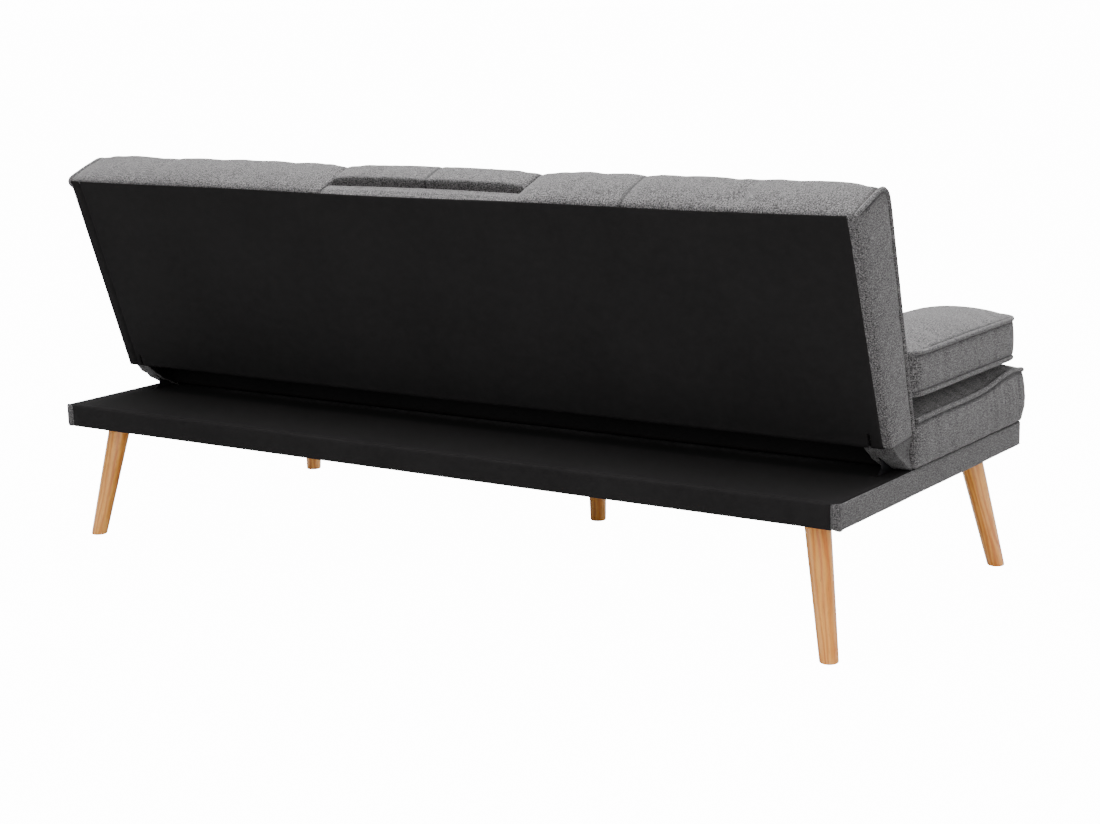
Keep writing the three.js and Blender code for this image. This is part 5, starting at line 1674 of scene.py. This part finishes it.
# painted shade along the console's seams, and weaker painted shade along its rear top edge, through the seam
# attribute
drawn_in(
    console, console_seams(console_places, False), 0.0040, 0.0065,
    dark=np.where(down_rear, 1.0, np.minimum(console_seams(console_places), 0.0022 + rear_seam)),
)
on_top = np.where(console_seams(console_places, False) > 0.5, console_seams(console_places), 1.0)
pressed_in(console, 0.0018 * beside(on_top, 0.006))
ring = [
    (cup_radius * math.cos(a), cup_rise + cup_radius * math.sin(a))
    for a in np.linspace(0.0, 2 * math.pi, cup_sides + 1)[:-1]
]
well_faces = [tuple(range(cup_sides)), tuple(range(2 * cup_sides - 1, cup_sides - 1, -1))]
for i in range(cup_sides):
    following = (i + 1) % cup_sides
    well_faces.append((i, cup_sides + i, cup_sides + following, following))
well_ends = (console_rear - cup_depth, console_rear + 0.03)
wells = []
for middle_x in (-cup_half_spacing, cup_half_spacing):
    well = [leaned(middle_x + a, u, v) for u in well_ends for a, v in ring]
    wells.append(made_piece("cup_well", well, well_faces, linen_console))
hollowed(console, wells)
cloth_map(console, back_lean)
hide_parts("console_cover", "console_foam")
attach(console, "console")

middle_v = np.linspace(console_low + 0.019, back_seam_end, 90)
middle_u = np.linspace(0.0, console_rear - 0.006, 14)
across_x = np.linspace(-console_half + 0.006, console_half - 0.006, 100)
rear_edge_x = np.linspace(-console_half + 0.004, console_half - 0.004, 120)
stitches("console_stitches", [
    dropped_on(console, [leaned(0.0, before_back, v) for v in middle_v], rearwards),
    dropped_on(console, [leaned(0.0, u, above_back) for u in middle_u], downwards),
    dropped_on(console, [leaned(x, before_back, console_rows[1]) for x in across_x], rearwards),
    dropped_on(console, [leaned(x, console_rear - 0.0035, above_back) for x in rear_edge_x], downwards),
], "console")


# Cup holders. Two moulded cups of black plastic, pushed into the wells; the flat rim of each rests on the
# console's linen.
def black_plastic(name):
    finish = Finish(name)
    grain = finish.noise(finish.place(), 1100.0, 2.0)
    cloud = finish.noise(finish.place(), 30.0, 2.0)
    return finish.done({
        "Base Color": finish.ramp(cloud, [(0.3, (0.010, 0.010, 0.011)), (0.7, (0.017, 0.017, 0.018))]),
        "Roughness": grain * 0.18 + 0.36,
        "Normal": finish.bump(grain, 0.00012, 0.7),
    })


refinished(["cup_holder_left", "cup_holder_right"], black_plastic("cup_black"))


# Arm cushions. Two loose cushions that lie on the ends of the seat: a boxed linen cover, piped round its
# top and its bottom, filled so that the top domes.
arm_x = 0.7985
arm_y = -0.1155
arm_low = 0.4051
arm_half_width = 0.0975
arm_half_depth = 0.2290
arm_corner = 0.036
arm_belly = 0.0045
arm_height = 0.0740
arm_edge_heights = (arm_low + arm_belly, arm_low + arm_belly + arm_height)
arm_crown = 0.0260
arm_swell = 0.0016
arm_columns, arm_rows = 21, 47
linen_arm = linen("linen_arm_cushion", 1.04)


def boxed_outline(inset, z):
    # a rectangle with rounded corners, as four sides that start and end at the middles of its corners
    half_width, half_depth = arm_half_width - inset, arm_half_depth - inset
    sides = []
    for quarter, steps in enumerate((arm_columns, arm_rows, arm_columns, arm_rows)):
        path = []
        for corner in (quarter, quarter + 1):
            sx, sy = ((-1, -1), (1, -1), (1, 1), (-1, 1))[corner % 4]
            middle = math.radians(225 + 90 * corner)
            turn = (0.0, math.pi / 4) if corner == quarter else (-math.pi / 4, 0.0)
            for angle in np.linspace(middle + turn[0], middle + turn[1], 8):
                path.append((
                    arm_x + sx * (half_width - arm_corner) + arm_corner * math.cos(angle),
                    arm_y + sy * (half_depth - arm_corner) + arm_corner * math.sin(angle),
                ))
        path = np.array(path)
        run = np.append(0.0, np.linalg.norm(np.diff(path, axis=0), axis=1).cumsum())
        even = np.linspace(0.0, run[-1], steps)
        even_x, even_y = (np.interp(even, run, path[:, axis]) for axis in (0, 1))
        sides.append([(x, y, z) for x, y in zip(even_x, even_y)])
    return sides


def arm_domed(grid, end):
    s = np.linspace(-1.0, 1.0, grid.shape[1])[None, :]
    t = np.linspace(-1.0, 1.0, grid.shape[0])[:, None]
    dome = ((1 - s ** 2) * (1 - t ** 2)) ** 0.62
    grid[:, :, 2] += dome * (arm_crown if end else -arm_belly)
    return grid


def arm_outline(part):
    # the border at a part of its height, a little fuller between its two edges
    low, high = arm_edge_heights
    return boxed_outline(-arm_swell * math.sin(math.pi * part), low + (high - low) * part)


def arm_sewn(places):
    return near_any(places[:, 2], arm_edge_heights) < 0.0002


def arm_most(places, normals):
    return np.where(normals[:, 2] > 0.4, 0.0085, np.where(normals[:, 2] < -0.4, 0.0003, 0.0022))


arm_outlines = [arm_outline(part) for part in np.linspace(0.0, 1.0, 9)]
arm_right = block_piece("arm_cushion_right", arm_outlines, linen_arm, arm_domed)
stuffed(arm_right, arm_sewn, arm_most, slack=0.01)
arm_places = places_of(arm_right)
inset = np.minimum(
    arm_half_width - np.abs(arm_places[:, 0] - arm_x), arm_half_depth - np.abs(arm_places[:, 1] - arm_y),
)
arm_edges = [np.hypot(inset, arm_places[:, 2] - arm_low - arm_belly - rise) for rise in (0.0, arm_height)]
arm_edge = np.minimum(*arm_edges)
# painted shadow line beside each piped edge, through the seam attribute, which the left cushion copies
drawn_in(arm_right, arm_edge, 0.0012, 0.006, dark=np.abs(arm_edge - piping_shadow))
arm_seam_shade = numbers_of(arm_right.data.attributes["seam"].data, "value")
arm_turned = places_of(arm_right)
arm_turned[:, 0] *= -1
arm_faces = [tuple(face.vertices)[::-1] for face in arm_right.data.polygons]
arm_left = made_piece("arm_cushion_left", arm_turned, arm_faces, linen_arm)
arm_left.data.attributes.new("seam", "FLOAT", "POINT").data.foreach_set("value", arm_seam_shade)
for side, cushion, sign in (("left", arm_left, -1), ("right", arm_right, 1)):
    places = places_of(cushion)
    soft = waviness(places * np.array((sign, 1.0, 1.0)), 0.0008, [
        (0.6, (31.0, 23.0, 17.0, 0.3 + sign)), (0.4, (67.0, 49.0, 60.0, 1.7)),
    ])
    place_all(cushion, places + normals_of(cushion) * (soft * (places[:, 2] > arm_low + 0.012))[:, None])
    cloth_map(cushion)
    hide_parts(f"arm_cushion_cover_{side}", f"arm_cushion_foam_{side}")
    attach(cushion, f"arm_cushion_{side}")
    edge_waves = [(0.6, (19.0, 14.0, 0.0, 0.6 + sign)), (0.4, (45.0, 37.0, 0.0, 2.0))]
    edge_lines = []
    for height in arm_edge_heights:
        full = np.concatenate([np.array(edge)[:-1] for edge in boxed_outline(-0.0014, height)])
        full[:, 2] += waviness(full, 0.0006, edge_waves)
        full[:, 0] *= sign
        full = np.concatenate([full[-4:], full, full[:4]])
        edge_lines.append(laid_on(cushion, full)[4:-4])
    piping(f"arm_cushion_piping_{side}", edge_lines, f"arm_cushion_{side}", closed=True)


bpy.context.view_layer.update()
